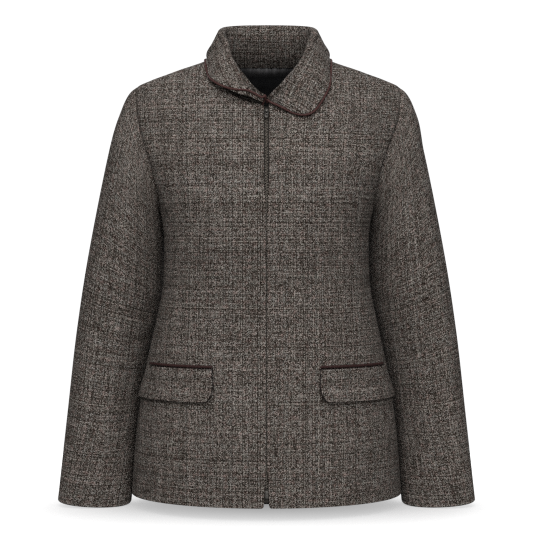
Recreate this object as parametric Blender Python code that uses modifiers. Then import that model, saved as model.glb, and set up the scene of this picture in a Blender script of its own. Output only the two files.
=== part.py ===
"""A tweed zip jacket, hollow as if worn.

Metres, +Z up, the front towards -Y, +X the wearer's left. The origin is on the middle line
at the height of the neck ends of the shoulder seams.
"""

import math
from collections import namedtuple

import bpy
import bmesh
import numpy as np
from mathutils import Matrix, Vector
from mathutils.bvhtree import BVHTree

# Cloth and seams
CLOTH = 0.0024
COLLAR_CLOTH = 0.0030
FLAP_CLOTH = 0.0030
LINING = 0.0010
SEAM = 0.0003
PIPING_RADIUS = 0.0016
POCKET_PIPING_RADIUS = 0.0019

# Torso, neckline and armhole
HEM_Z = -0.624
ARMPIT_Z = -0.212
SHOULDER_Z = -0.038
NECK_TOP_Z = 0.003
NECK_HALF_WIDTH = 0.078
FRONT_TOP_Z = 0.0005
FRONT_NECK_END = 87
COLLAR_SEAM = 0.0008
ARM_FRONT_DEPTH = 0.055
ARM_BACK_DEPTH = 0.050
ARM_SKEW = 0.45
ARM_SINK = 0.017
ARM_SINK_BACK = 0.005
ARM_STEPS = 11
NECK_STEP = 3
BODY_STEPS = 14
SHOULDER_STEPS = 5
FRONT_COLUMNS = 11
BACK_COLUMNS = 20

# Level sections of the torso, from the neck down
Section = namedtuple("Section", "z half_width front back square")
TORSO = (
    Section(0.003, 0.0780, 0.030, 0.060, 2.00),
    Section(-0.0055, 0.1020, 0.035, 0.064, 2.00),
    Section(-0.0175, 0.1367, 0.043, 0.070, 2.00),
    Section(-0.029, 0.1670, 0.051, 0.076, 2.05),
    Section(-0.038, 0.1855, 0.058, 0.081, 2.10),
    Section(-0.060, 0.1900, 0.072, 0.091, 2.15),
    Section(-0.086, 0.1905, 0.087, 0.101, 2.20),
    Section(-0.126, 0.1860, 0.107, 0.111, 2.20),
    Section(-0.170, 0.1720, 0.121, 0.115, 2.20),
    Section(-0.212, 0.1535, 0.127, 0.112, 2.20),
    Section(-0.260, 0.1465, 0.126, 0.106, 2.20),
    Section(-0.320, 0.1485, 0.120, 0.102, 2.20),
    Section(-0.380, 0.1600, 0.119, 0.105, 2.20),
    Section(-0.450, 0.1750, 0.127, 0.116, 2.20),
    Section(-0.540, 0.1880, 0.139, 0.130, 2.12),
    Section(-0.624, 0.1945, 0.149, 0.142, 2.05),
)

# Half of the slit between the fronts, where the zip shows
Slit = namedtuple("Slit", "z half")
SLIT = (
    Slit(-0.064, 0.0044),
    Slit(-0.130, 0.0041),
    Slit(-0.190, 0.0026),
    Slit(-0.270, 0.0020),
    Slit(-0.450, 0.0017),
    Slit(-0.580, 0.0020),
    Slit(-0.624, 0.0034),
)

# Rings of a sleeve from armhole to cuff: outer and inner points, depth and forward pitch, and how far
# the inner side is tucked back behind the body
Ring = namedtuple("Ring", "at outer_x outer_z inner_x inner_z mid_y half_depth pitch tuck")
SLEEVE = (
    Ring(0, 0.1845, -0.0380, 0.1535, -0.2120, 0.000, 0.0520, 0.00, 0.000),
    Ring(1, 0.1945, -0.0450, 0.1553, -0.2098, 0.000, 0.0540, 0.00, 0.003),
    Ring(2, 0.2025, -0.0565, 0.1567, -0.2124, 0.000, 0.0565, 0.00, 0.007),
    Ring(3, 0.2095, -0.0730, 0.1560, -0.2195, 0.000, 0.0580, 0.00, 0.011),
    Ring(5, 0.2225, -0.1130, 0.1513, -0.2420, 0.000, 0.0595, 0.00, 0.019),
    Ring(7, 0.2415, -0.2000, 0.1494, -0.2880, 0.001, 0.0590, 0.00, 0.024),
    Ring(9, 0.2605, -0.3000, 0.1550, -0.3480, 0.002, 0.0560, 0.02, 0.023),
    Ring(11, 0.2735, -0.3850, 0.1696, -0.4120, 0.002, 0.0510, 0.06, 0.020),
    Ring(14, 0.2870, -0.5030, 0.1880, -0.5130, -0.001, 0.0455, 0.13, 0.014),
    Ring(17, 0.3006, -0.6260, 0.1979, -0.6315, -0.006, 0.0425, 0.26, 0.010),
)
SLEEVE_BLEND = 5
SLEEVE_FULLNESS = 0.85

# The collar from centre front (0) to centre back (1): where it meets the neck and where it rolls
Roll = namedtuple("Roll", "at neck_angle x y z")
COLLAR_ROLL = (
    Roll(0.00, 2, 0.0045, -0.0815, -0.0615),
    Roll(0.10, 13, 0.0125, -0.0795, -0.0510),
    Roll(0.20, 27, 0.0225, -0.0755, -0.0390),
    Roll(0.27, 38, 0.0310, -0.0710, -0.0280),
    Roll(0.34, 49, 0.0400, -0.0635, -0.0160),
    Roll(0.42, 62, 0.0500, -0.0500, 0.0010),
    Roll(0.50, 76, 0.0590, -0.0310, 0.0200),
    Roll(0.58, 91, 0.0670, -0.0080, 0.0375),
    Roll(0.70, 113, 0.0645, 0.0240, 0.0500),
    Roll(0.85, 146, 0.0410, 0.0450, 0.0555),
    Roll(1.00, 180, 0.0000, 0.0530, 0.0570),
)

# The free edge of each leaf of the collar; the wearer's right leaf lifts off the chest
Edge = namedtuple("Edge", "at x y z")
LEAF_LEFT = (
    Edge(0.00, 0.0345, -0.0890, -0.0790),
    Edge(0.05, 0.0470, -0.0900, -0.0820),
    Edge(0.10, 0.0570, -0.0880, -0.0800),
    Edge(0.15, 0.0640, -0.0840, -0.0740),
    Edge(0.20, 0.0695, -0.0780, -0.0660),
    Edge(0.27, 0.0760, -0.0710, -0.0550),
    Edge(0.34, 0.0820, -0.0620, -0.0430),
    Edge(0.42, 0.0850, -0.0500, -0.0290),
    Edge(0.50, 0.0865, -0.0270, -0.0125),
    Edge(0.58, 0.0856, 0.0040, -0.0010),
    Edge(0.70, 0.0782, 0.0360, -0.0020),
    Edge(0.85, 0.0500, 0.0640, -0.0050),
    Edge(1.00, 0.0000, 0.0750, -0.0065),
)
LEAF_RIGHT = (
    Edge(0.00, 0.0190, -0.1130, -0.0515),
    Edge(0.05, 0.0290, -0.1180, -0.0500),
    Edge(0.10, 0.0400, -0.1160, -0.0482),
    Edge(0.15, 0.0520, -0.1070, -0.0455),
    Edge(0.20, 0.0610, -0.0960, -0.0418),
    Edge(0.27, 0.0695, -0.0800, -0.0365),
    Edge(0.34, 0.0770, -0.0650, -0.0305),
    Edge(0.42, 0.0820, -0.0470, -0.0230),
    Edge(0.50, 0.0852, -0.0250, -0.0115),
    Edge(0.58, 0.0856, 0.0040, -0.0010),
    Edge(0.70, 0.0782, 0.0360, -0.0020),
    Edge(0.85, 0.0500, 0.0640, -0.0050),
    Edge(1.00, 0.0000, 0.0750, -0.0065),
)
ROLL_RADIUS = 0.0032
LEAF_BULGE = 0.0035
LEAF_CLEARANCE = 0.0020
COLLAR_STATIONS = 23
STAND_STEPS = 3
FALL_STEPS = 6

# Pocket flaps, as angles round the torso and heights
FLAP_TOP_Z = -0.4358
FLAP_BOTTOM_Z = -0.4830
FLAP_TOP_INNER = 23.8
FLAP_TOP_OUTER = 74.0
FLAP_BOTTOM_INNER = 24.7
FLAP_BOTTOM_OUTER = 84.0
FLAP_ROUND = 0.012
FLAP_COLUMNS = 12
FLAP_ROWS = 4
FLAP_CLEARANCE = 0.0008
FLAP_LIFT = 0.0030
PIPING_OVERHANG = 0.8

# Zip
TAPE_HALF_WIDTH = 0.0120
TAPE_THICKNESS = 0.0008
CHAIN_HALF_WIDTH = 0.0024
CHAIN_THICKNESS = 0.0016
SLIDER_Z = -0.0775
SLIDER_SIZE = (0.0070, 0.0110, 0.0042)
SLIDER_TAPER = 0.78
CHAIN_TOP_Z = -0.0850
CHAIN_BOTTOM_Z = -0.5985
BOX_SIZE = (0.0062, 0.0016, 0.0120)
BOX_Z = -0.6060
BRIDGE_SIZE = (0.0018, 0.0084, 0.0042)
BRIDGE_WINDOW = (0.0060, 0.0026)
BRIDGE_SINK = 0.0006
PULL_SIZE = (0.0056, 0.0135, 0.0012)
PULL_BAR = 0.0014
PULL_WINDOW = (0.0034, 0.0066)


# Curves through the tables

def smooth(knots, values, level=False):
    """A smooth curve through rows of values; a level one adds no bumps between them."""
    knots = np.array(knots, float)
    values = np.array(values, float)
    if values.ndim == 1:
        values = values[:, None]
    order = np.argsort(knots)
    knots = knots[order]
    values = values[order]
    step = np.diff(knots)[:, None]
    slope = np.diff(values, axis=0) / step
    tangent = np.empty_like(values)
    tangent[0] = slope[0]
    tangent[-1] = slope[-1]
    before, after = step[:-1], step[1:]
    if level:
        product = slope[:-1] * slope[1:]
        total = np.where(product > 0, (2 * after + before) * slope[1:] + (after + 2 * before) * slope[:-1], 1)
        tangent[1:-1] = np.where(product > 0, 3 * (before + after) * product / total, 0)
    else:
        tangent[1:-1] = (slope[:-1] * after + slope[1:] * before) / (before + after)

    def curve(at):
        at = np.clip(np.asarray(at, float), knots[0], knots[-1])
        index = np.clip(np.searchsorted(knots, at, side="right") - 1, 0, len(knots) - 2)
        width = step[index]
        u = ((at - knots[index])[..., None]) / width
        start = values[index] * (1 + 2 * u) * (1 - u) ** 2 + tangent[index] * width * u * (1 - u) ** 2
        end = values[index + 1] * u * u * (3 - 2 * u) + tangent[index + 1] * width * u * u * (u - 1)
        return start + end

    return curve


def column(rows, *names):
    """The named columns of a table."""
    return [[getattr(row, name) for name in names] for row in rows]


def unit(vectors):
    """Vectors of length one."""
    return vectors / np.linalg.norm(vectors, axis=-1, keepdims=True)


torso_sizes = smooth(
    [row.z for row in TORSO],
    column(TORSO, "half_width", "front", "back", "square"),
    level=True,
)
slit_half = smooth([row.z for row in SLIT], column(SLIT, "half"), level=True)
sleeve_sizes = smooth(
    [row.at for row in SLEEVE],
    column(SLEEVE, "outer_x", "outer_z", "inner_x", "inner_z", "mid_y", "half_depth", "pitch", "tuck"),
)


# The torso's surface

def torso(angle, z):
    """Points of the torso at angles from centre front, 90 degrees at the wearer's left side."""
    angle, z = np.broadcast_arrays(np.asarray(angle, float), np.asarray(z, float))
    half_width, front, back, square = np.moveaxis(torso_sizes(z), -1, 0)
    sine, cosine = np.sin(angle), np.cos(angle)
    depth = np.where(cosine > 0, front, back)
    x = half_width * np.sign(sine) * np.abs(sine) ** (2 / square)
    y = -depth * np.sign(cosine) * np.abs(cosine) ** (2 / square)
    return np.stack([x, y, z], -1)


def torso_normal(angle, z):
    """The directions out of the torso."""
    turn, rise = 0.002, 0.0005
    across = torso(angle + turn, z) - torso(angle - turn, z)
    upward = torso(angle, z + rise) - torso(angle, z - rise)
    return unit(np.cross(across, upward))


def angle_at_x(x, z, behind=False):
    """The angle round the torso whose point lies at x."""
    half_width, _, _, square = np.moveaxis(torso_sizes(z), -1, 0)
    angle = np.arcsin(np.clip(x / half_width, 0, 1) ** (square / 2))
    return math.pi - angle if behind else angle


def angle_at_depth(depth, z, behind=False):
    """The angle round the torso whose point lies this far before or behind the middle."""
    _, front, back, square = np.moveaxis(torso_sizes(z), -1, 0)
    reach = back if behind else front
    angle = np.arccos(np.clip(depth / reach, 0, 1) ** (square / 2))
    return math.pi - angle if behind else angle


# Seam lines

def arm_turns():
    """Angles round half an armhole, from the shoulder point to the armpit."""
    return np.linspace(0, math.pi, ARM_STEPS + 1)


def arm_height(turn):
    """Height of the armhole at a turn."""
    return SHOULDER_Z + (ARMPIT_Z - SHOULDER_Z) * (1 - np.cos(turn)) / 2


def arm_egg(turn):
    """How far the armhole spreads at a turn, widest below its middle."""
    spread = np.sin(turn) * (1 - ARM_SKEW * np.cos(turn))
    return spread / (1 + ARM_SKEW ** 2 * 0.45)


def arm_sink(turn, behind=False):
    """How far the armhole seam sinks between body and sleeve at a turn, most towards the armpit."""
    low = (1 - np.cos(turn)) / 2
    return np.where(behind, ARM_SINK_BACK, ARM_SINK) * low ** 3 * np.maximum(np.sin(turn), 0) ** 0.6


def arm_angle(turn, behind=False):
    """The angle round the torso of the armhole seam."""
    depth = (ARM_BACK_DEPTH if behind else ARM_FRONT_DEPTH) * arm_egg(turn)
    return angle_at_depth(depth, arm_height(turn), behind)


NECK_FRONT_Z = float(arm_height(arm_turns()[NECK_STEP]))


def neck_height(turn):
    """Height of the neckline at a turn from centre front."""
    return NECK_TOP_Z - (NECK_TOP_Z - NECK_FRONT_Z) * np.maximum(np.cos(turn), 0)


def neck_x(turn):
    """Half the width of the front neckline at a turn from centre front."""
    return np.maximum(NECK_HALF_WIDTH * np.sin(turn), SLIT[0].half)


def body_heights():
    """Heights of the rows of points from the hem to the armpit."""
    return np.linspace(HEM_Z, ARMPIT_Z, BODY_STEPS + 1)[:-1]


def arm_heights():
    """Heights of the rows from the armpit to the shoulder point."""
    return arm_height(arm_turns()[::-1])


def shoulder_heights(top):
    """Heights of the rows above the shoulder point."""
    return np.linspace(SHOULDER_Z, top, SHOULDER_STEPS + 1)[1:]


# Panels as grids of points with the directions out of the cloth

def front_grid(mitre):
    """The wearer's left front, from the hem up and from the zip and the neckline to the side."""
    turns = arm_turns()[::-1]
    low, middle, high = body_heights(), arm_heights(), shoulder_heights(FRONT_TOP_Z)
    side_z = np.concatenate([low, middle, high])
    seam_low = np.full(len(low), math.pi / 2)
    seam_high = np.full(len(high), math.pi / 2)
    side = np.concatenate([seam_low, arm_angle(turns), seam_high])
    neck = np.radians(np.linspace(0, FRONT_NECK_END, NECK_STEP + SHOULDER_STEPS + 1))
    below = len(side_z) - len(neck)
    start_z = np.concatenate([side_z[:below], neck_height(neck)])
    start_x = np.concatenate([slit_half(side_z[:below])[..., 0], neck_x(neck)])
    start = angle_at_x(start_x, start_z)
    share = np.linspace(0, 1, FRONT_COLUMNS + 1)
    angle = start[:, None] + (side - start)[:, None] * share
    z = start_z[:, None] + (side_z - start_z)[:, None] * share
    points = torso(angle, z)
    normals = torso_normal(angle, z)
    arm = slice(len(low), len(low) + len(middle))
    points[arm, -1] -= normals[arm, -1] * arm_sink(turns)[:, None]
    normals[arm, -1] = mitre[ARM_STEPS::-1]
    points[:, -1, 1] = np.minimum(points[:, -1, 1], -SEAM / 2)
    return points, normals


def back_grid(mitre):
    """The back in one piece, from the hem up and from the left side to the right."""
    turns = arm_turns()[::-1]
    low, middle, high = body_heights(), arm_heights(), shoulder_heights(NECK_TOP_Z)
    z = np.concatenate([low, middle, high])
    seam_low = np.full(len(low), math.pi / 2)
    seam_high = np.full(len(high), math.pi / 2)
    side = np.concatenate([seam_low, arm_angle(turns, True), seam_high])
    share = np.linspace(0, 1, BACK_COLUMNS + 1)
    angle = side[:, None] + (2 * math.pi - 2 * side)[:, None] * share
    points = torso(angle, z[:, None])
    normals = torso_normal(angle, z[:, None])
    arm = slice(len(low), len(low) + len(middle))
    back_mitre = np.concatenate([mitre[ARM_STEPS:], mitre[:1]])
    for edge in (0, -1):
        points[arm, edge] -= normals[arm, edge] * arm_sink(turns, True)[:, None]
    normals[arm, 0] = back_mitre
    normals[arm, -1] = back_mitre * (-1, 1, 1)
    for edge in (0, -1):
        points[:, edge, 1] = np.maximum(points[:, edge, 1], SEAM / 2)
    return points, normals


def sleeve_grid():
    """The wearer's left sleeve, ring by ring from the armhole, each from the top round the front."""
    half = arm_turns()
    turn = np.concatenate([half, half[-2:0:-1]])
    behind = np.arange(2 * ARM_STEPS) > ARM_STEPS
    way = np.where(behind, 1.0, -1.0)
    angle = np.where(behind, arm_angle(turn, True), arm_angle(turn))
    out = torso_normal(angle, arm_height(turn))
    armhole = torso(angle, arm_height(turn)) - out * arm_sink(turn, behind)[:, None]
    at = np.arange(SLEEVE[-1].at + 1)
    sizes = np.moveaxis(sleeve_sizes(at), -1, 0)[:, :, None]
    outer_x, outer_z, inner_x, inner_z, mid_y, half_depth, pitch, tuck = sizes
    blend = np.clip(at / SLEEVE_BLEND, 0, 1)[:, None]
    spread = (1 - blend) * arm_egg(turn) + blend * np.sin(turn) ** SLEEVE_FULLNESS
    cosine = np.cos(turn)
    forward = way * half_depth * spread
    x = (outer_x + inner_x) / 2 + (outer_x - inner_x) / 2 * cosine
    z = (outer_z + inner_z) / 2 + (outer_z - inner_z) / 2 * cosine + pitch * forward
    y = mid_y + forward + tuck * (1 - cosine) / 2
    points = np.stack([x, y, z], -1)
    points += (armhole - points[0]) * ((1 - blend) ** 4)[..., None]
    normals = ring_normals(points)
    mitre = unit(out + normals[0])
    points[0] += SEAM * 1.5 * unit(points[1] - points[0])
    normals[0] = mitre
    return points, normals, mitre


def ring_normals(points):
    """Directions out of a tube of rings."""
    along = np.gradient(points, axis=0)
    around = np.roll(points, -1, axis=1) - np.roll(points, 1, axis=1)
    normals = unit(np.cross(around, along))
    outward = points - points.mean(axis=1, keepdims=True)
    return normals * np.sign(np.sum(normals * outward))


def sheet_normals(points):
    """Directions out of an open grid, columns crossed with rows."""
    return unit(np.cross(np.gradient(points, axis=1), np.gradient(points, axis=0)))


def mirrored(grid):
    """The same grid on the wearer's other side."""
    return tuple(array[:, ::-1] * (-1, 1, 1) for array in grid)


# Objects

def paint(name, colour, roughness, metallic=0.0):
    """A plain material."""
    material = bpy.data.materials.new(name)
    material.use_nodes = True
    shader = material.node_tree.nodes["Principled BSDF"]
    shader.inputs["Base Color"].default_value = (*colour, 1.0)
    shader.inputs["Roughness"].default_value = roughness
    shader.inputs["Metallic"].default_value = metallic
    return material


def place(name, mesh, material, collection):
    """An object of a mesh."""
    item = bpy.data.objects.new(name, mesh)
    item.data.materials.append(material)
    collection.objects.link(item)
    return item


def loft(name, points, normals, thickness, material, collection, ring=False):
    """A wall of cloth on a grid, closed round its edges."""
    rows, columns = points.shape[:2]
    outer = (points + normals * thickness / 2).reshape(-1, 3)
    inner = (points - normals * thickness / 2).reshape(-1, 3)
    count = rows * columns
    bm = bmesh.new()
    corners = [bm.verts.new(point) for point in np.concatenate([outer, inner])]
    spans = columns if ring else columns - 1

    def at(row, column, layer):
        return corners[layer * count + row * columns + column % columns]

    for layer in (0, 1):
        for row in range(rows - 1):
            for c in range(spans):
                first, second = at(row, c, layer), at(row, c + 1, layer)
                third, fourth = at(row + 1, c + 1, layer), at(row + 1, c, layer)
                if layer == 0:
                    bm.faces.new([first, second, third, fourth])
                else:
                    bm.faces.new([first, fourth, third, second])
    for row in (0, rows - 1):
        for c in range(spans):
            bm.faces.new([at(row, c, 1), at(row, c + 1, 1), at(row, c + 1, 0), at(row, c, 0)])
    if not ring:
        for c in (0, columns - 1):
            for row in range(rows - 1):
                bm.faces.new([at(row, c, 1), at(row + 1, c, 1), at(row + 1, c, 0), at(row, c, 0)])
    bmesh.ops.recalc_face_normals(bm, faces=bm.faces)
    mesh = bpy.data.meshes.new(name)
    bm.to_mesh(mesh)
    bm.free()
    return place(name, mesh, material, collection)


def cord(name, path, radius, material, collection):
    """A round cord along a path."""
    curve = bpy.data.curves.new(name, "CURVE")
    curve.dimensions = "3D"
    curve.bevel_depth = radius
    curve.bevel_resolution = 1
    curve.use_fill_caps = True
    line = curve.splines.new("POLY")
    line.points.add(len(path) - 1)
    for point, position in zip(line.points, path):
        point.co = (*position, 1.0)
    curve.materials.append(material)
    item = bpy.data.objects.new(name, curve)
    collection.objects.link(item)
    return item


def block(name, size, material, collection, bevel=0.0):
    """A block about its own centre, its edges rounded off."""
    bm = bmesh.new()
    bmesh.ops.create_cube(bm, size=1.0)
    bmesh.ops.scale(bm, vec=size, verts=bm.verts)
    mesh = bpy.data.meshes.new(name)
    bm.to_mesh(mesh)
    bm.free()
    item = place(name, mesh, material, collection)
    if bevel:
        rounding = item.modifiers.new("edges", "BEVEL")
        rounding.width = bevel
        rounding.segments = 1
    return item


def combine(item, other, operation):
    """Join to an object, or cut from it, another one."""
    modifier = item.modifiers.new(other.name, "BOOLEAN")
    modifier.operation = operation
    modifier.solver = "EXACT"
    modifier.object = other


# The collar

def neck_line(angle):
    """Points of the neckline by degrees from centre front, and the directions into the neck."""
    turn = np.radians(angle)
    z = np.minimum(neck_height(turn), NECK_TOP_Z - 1e-6)
    around = np.where(turn < math.pi / 2, angle_at_x(neck_x(turn), z), turn)
    points = torso(around, z)
    along = unit(np.gradient(points, axis=0))
    return points, unit(np.cross(torso_normal(around, z), along))


def collar_half(leaf):
    """Sections of the collar's left half from centre front to back, each from neck to free edge."""
    at = np.linspace(0, 1, COLLAR_STATIONS) ** 1.25
    rolls = smooth([row.at for row in COLLAR_ROLL], column(COLLAR_ROLL, "neck_angle", "x", "y", "z"))(at)
    free = smooth([row.at for row in leaf], column(leaf, "x", "y", "z"))(at)
    seam, inward = neck_line(rolls[:, 0])
    base = seam + inward * (COLLAR_SEAM + COLLAR_CLOTH / 2)
    roll = rolls[:, 1:]
    tangent = unit(np.gradient(roll, axis=0))
    out = free - base
    out = unit(out - np.sum(out * tangent, -1, keepdims=True) * tangent)
    rise = np.cross(tangent, out)
    rise *= np.sign(np.sum(rise * (roll - (base + free) / 2), -1, keepdims=True))
    before = roll - out * ROLL_RADIUS - rise * ROLL_RADIUS
    after = roll + out * ROLL_RADIUS - rise * ROLL_RADIUS
    bulge = unit(out + rise) * LEAF_BULGE
    middle = (after + free) / 2 + bulge
    marks = [0, 1, 1.55, 2.1, 3.1, 4.1]
    section = smooth(marks, np.stack([base, before, roll, after, middle, free]).reshape(6, -1))
    stand = np.linspace(0, 1, STAND_STEPS + 1)
    fall = np.linspace(2.1, 4.1, FALL_STEPS + 1)
    steps = np.concatenate([stand, [1.3, 1.55, 1.8], fall])
    return section(steps).reshape(len(steps), COLLAR_STATIONS, 3)


def lift_clear(points, trees, clearance):
    """Moves points out until they stand clear of the cloth beneath."""
    for index in np.ndindex(points.shape[:2]):
        for tree in trees:
            spot, normal, _, _ = tree.find_nearest(Vector(points[index]))
            offset = Vector(points[index]) - spot
            depth = offset.dot(normal)
            aside = (offset - normal * depth).length
            if depth < clearance and aside < CLOTH:
                points[index] += np.array(normal) * (clearance - depth)


def outer_tree(points, normals):
    """A search tree of the outside of a panel."""
    rows, columns = points.shape[:2]
    spots = [Vector(point) for point in (points + normals * CLOTH / 2).reshape(-1, 3)]
    quads = []
    for row in range(rows - 1):
        for c in range(columns - 1):
            corner = row * columns + c
            quads.append((corner, corner + 1, corner + columns + 1, corner + columns))
    return BVHTree.FromPolygons(spots, quads)


def collar_grid(trees):
    """The whole collar, from the wearer's right front round the back to the left front."""
    left = collar_half(LEAF_LEFT)
    right = collar_half(LEAF_RIGHT) * (-1, 1, 1)
    points = np.concatenate([right, left[:, -2::-1]], axis=1)
    lift_clear(points[STAND_STEPS + 4:], trees, COLLAR_CLOTH / 2 + LEAF_CLEARANCE)
    return points, sheet_normals(points)


def piping_path(points, normals):
    """A line just outside the collar's free edge, from one front end of the roll to the other."""
    roll = STAND_STEPS + 2

    def round_edge(grid, inset):
        low, high, last = inset, grid.shape[1] - 1 - inset, len(grid) - 1 - inset
        return np.concatenate([grid[roll:-1, low], grid[last, :], grid[-2:roll - 1:-1, high]])

    edge = round_edge(points, 0)
    tangent = unit(np.gradient(edge, axis=0))
    aside = unit(np.cross(tangent, round_edge(normals, 0)))
    aside *= np.sign(np.sum(aside * (edge - round_edge(points, 1)), -1, keepdims=True))
    return edge + aside * (PIPING_RADIUS + 2 * SEAM)


# Pockets

def flap_grid():
    """The wearer's left flap, from its lower edge up and from the zip outwards."""
    share = (1 - np.cos(np.linspace(0, math.pi, FLAP_COLUMNS + 1))) / 2
    rows = np.linspace(1, 0, FLAP_ROWS + 1)[:, None]
    inner = FLAP_TOP_INNER + (FLAP_BOTTOM_INNER - FLAP_TOP_INNER) * rows
    outer = FLAP_TOP_OUTER + (FLAP_BOTTOM_OUTER - FLAP_TOP_OUTER) * rows
    angle = np.radians(inner + (outer - inner) * share)
    bottom = torso(angle[0], np.full(FLAP_COLUMNS + 1, FLAP_BOTTOM_Z))
    length = np.concatenate([[0], np.cumsum(np.linalg.norm(np.diff(bottom, axis=0), axis=1))])
    near = np.minimum(length, length[-1] - length)
    inside = np.clip(FLAP_ROUND - near, 0, FLAP_ROUND)
    rounding = FLAP_ROUND - np.sqrt(FLAP_ROUND ** 2 - inside ** 2)
    z = FLAP_TOP_Z + (FLAP_BOTTOM_Z + rounding - FLAP_TOP_Z) * rows
    normals = torso_normal(angle, z)
    out = (CLOTH + FLAP_CLOTH) / 2 + FLAP_CLEARANCE + FLAP_LIFT * rows ** 2
    return torso(angle, z) + normals * out[..., None], normals


def pocket_piping_path():
    """A line along the mouth of the wearer's left pocket."""
    first, last = FLAP_TOP_INNER - PIPING_OVERHANG, FLAP_TOP_OUTER + PIPING_OVERHANG
    angle = np.radians(np.linspace(first, last, FLAP_COLUMNS + 1))
    z = np.full(FLAP_COLUMNS + 1, FLAP_TOP_Z + POCKET_PIPING_RADIUS + SEAM)
    return torso(angle, z) + torso_normal(angle, z) * (CLOTH / 2 + FLAP_CLEARANCE + POCKET_PIPING_RADIUS)


# Zip

def strip_grid(half_width, heights, sink):
    """A strip along the zip, sunk behind the middle of the fronts' cloth."""
    x = np.linspace(-half_width, half_width, 5)
    angle = np.sign(x) * angle_at_x(np.abs(x), heights[:, None])
    z = np.broadcast_to(heights[:, None], angle.shape)
    normals = torso_normal(angle, z)
    return torso(angle, z) - normals * sink, normals


def zip_heights(top, bottom):
    """Heights of a zip strip, at the fronts' own rows between its ends."""
    rows = np.concatenate([body_heights(), arm_heights()])
    inside = rows[(rows > bottom + 0.001) & (rows < top - 0.001)]
    return np.concatenate([[bottom], inside, [top]])


def slider_frame():
    """The slider's place on the zip: across, up along the cloth, and out of it."""
    spot = torso(0.0, SLIDER_Z)
    out = torso_normal(0.0, SLIDER_Z)
    across = np.array([1.0, 0.0, 0.0])
    up = np.cross(out, across)
    frame = Matrix(np.stack([across, up, out], 1).tolist()).to_4x4()
    return Matrix.Translation(Vector(spot)) @ frame


def build_slider(metal, jacket, cutters):
    """The slider with its bridge, and the pull hung on the bridge."""
    frame = slider_frame()
    width, height, depth = SLIDER_SIZE
    back = -(CLOTH / 2 + SEAM + CHAIN_THICKNESS)
    face = back + depth
    body = block("zip_slider", SLIDER_SIZE, metal, jacket, bevel=0.0006)
    for vertex in body.data.vertices:
        if vertex.co.y < 0:
            vertex.co.x *= SLIDER_TAPER
    body.matrix_world = frame @ Matrix.Translation((0, 0, back + depth / 2))
    bridge = block("bridge", BRIDGE_SIZE, metal, cutters)
    bridge.matrix_world = frame @ Matrix.Translation((0, 0, face - BRIDGE_SINK + BRIDGE_SIZE[2] / 2))
    window_size = (BRIDGE_SIZE[0] * 2, *BRIDGE_WINDOW)
    axis_height = face + SEAM + BRIDGE_WINDOW[1] / 2
    window = block("bridge_window", window_size, metal, cutters)
    window.matrix_world = frame @ Matrix.Translation((0, 0, axis_height))
    combine(bridge, window, "DIFFERENCE")
    combine(body, bridge, "UNION")

    hinge = bpy.data.objects.new("zip_pull_hinge", None)
    jacket.objects.link(hinge)
    hinge.matrix_world = frame @ Matrix.Translation((0, 0, axis_height))
    pull = block("zip_pull", PULL_SIZE, metal, jacket)
    for vertex in pull.data.vertices:
        vertex.co.y += (PULL_BAR - PULL_SIZE[1]) / 2
    pull.parent = hinge
    eye = block("pull_window", (*PULL_WINDOW, PULL_SIZE[2] * 3), metal, cutters)
    eye.parent = hinge
    eye.location = (0, -(PULL_BAR + PULL_WINDOW[1]) / 2, 0)
    combine(pull, eye, "DIFFERENCE")


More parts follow.
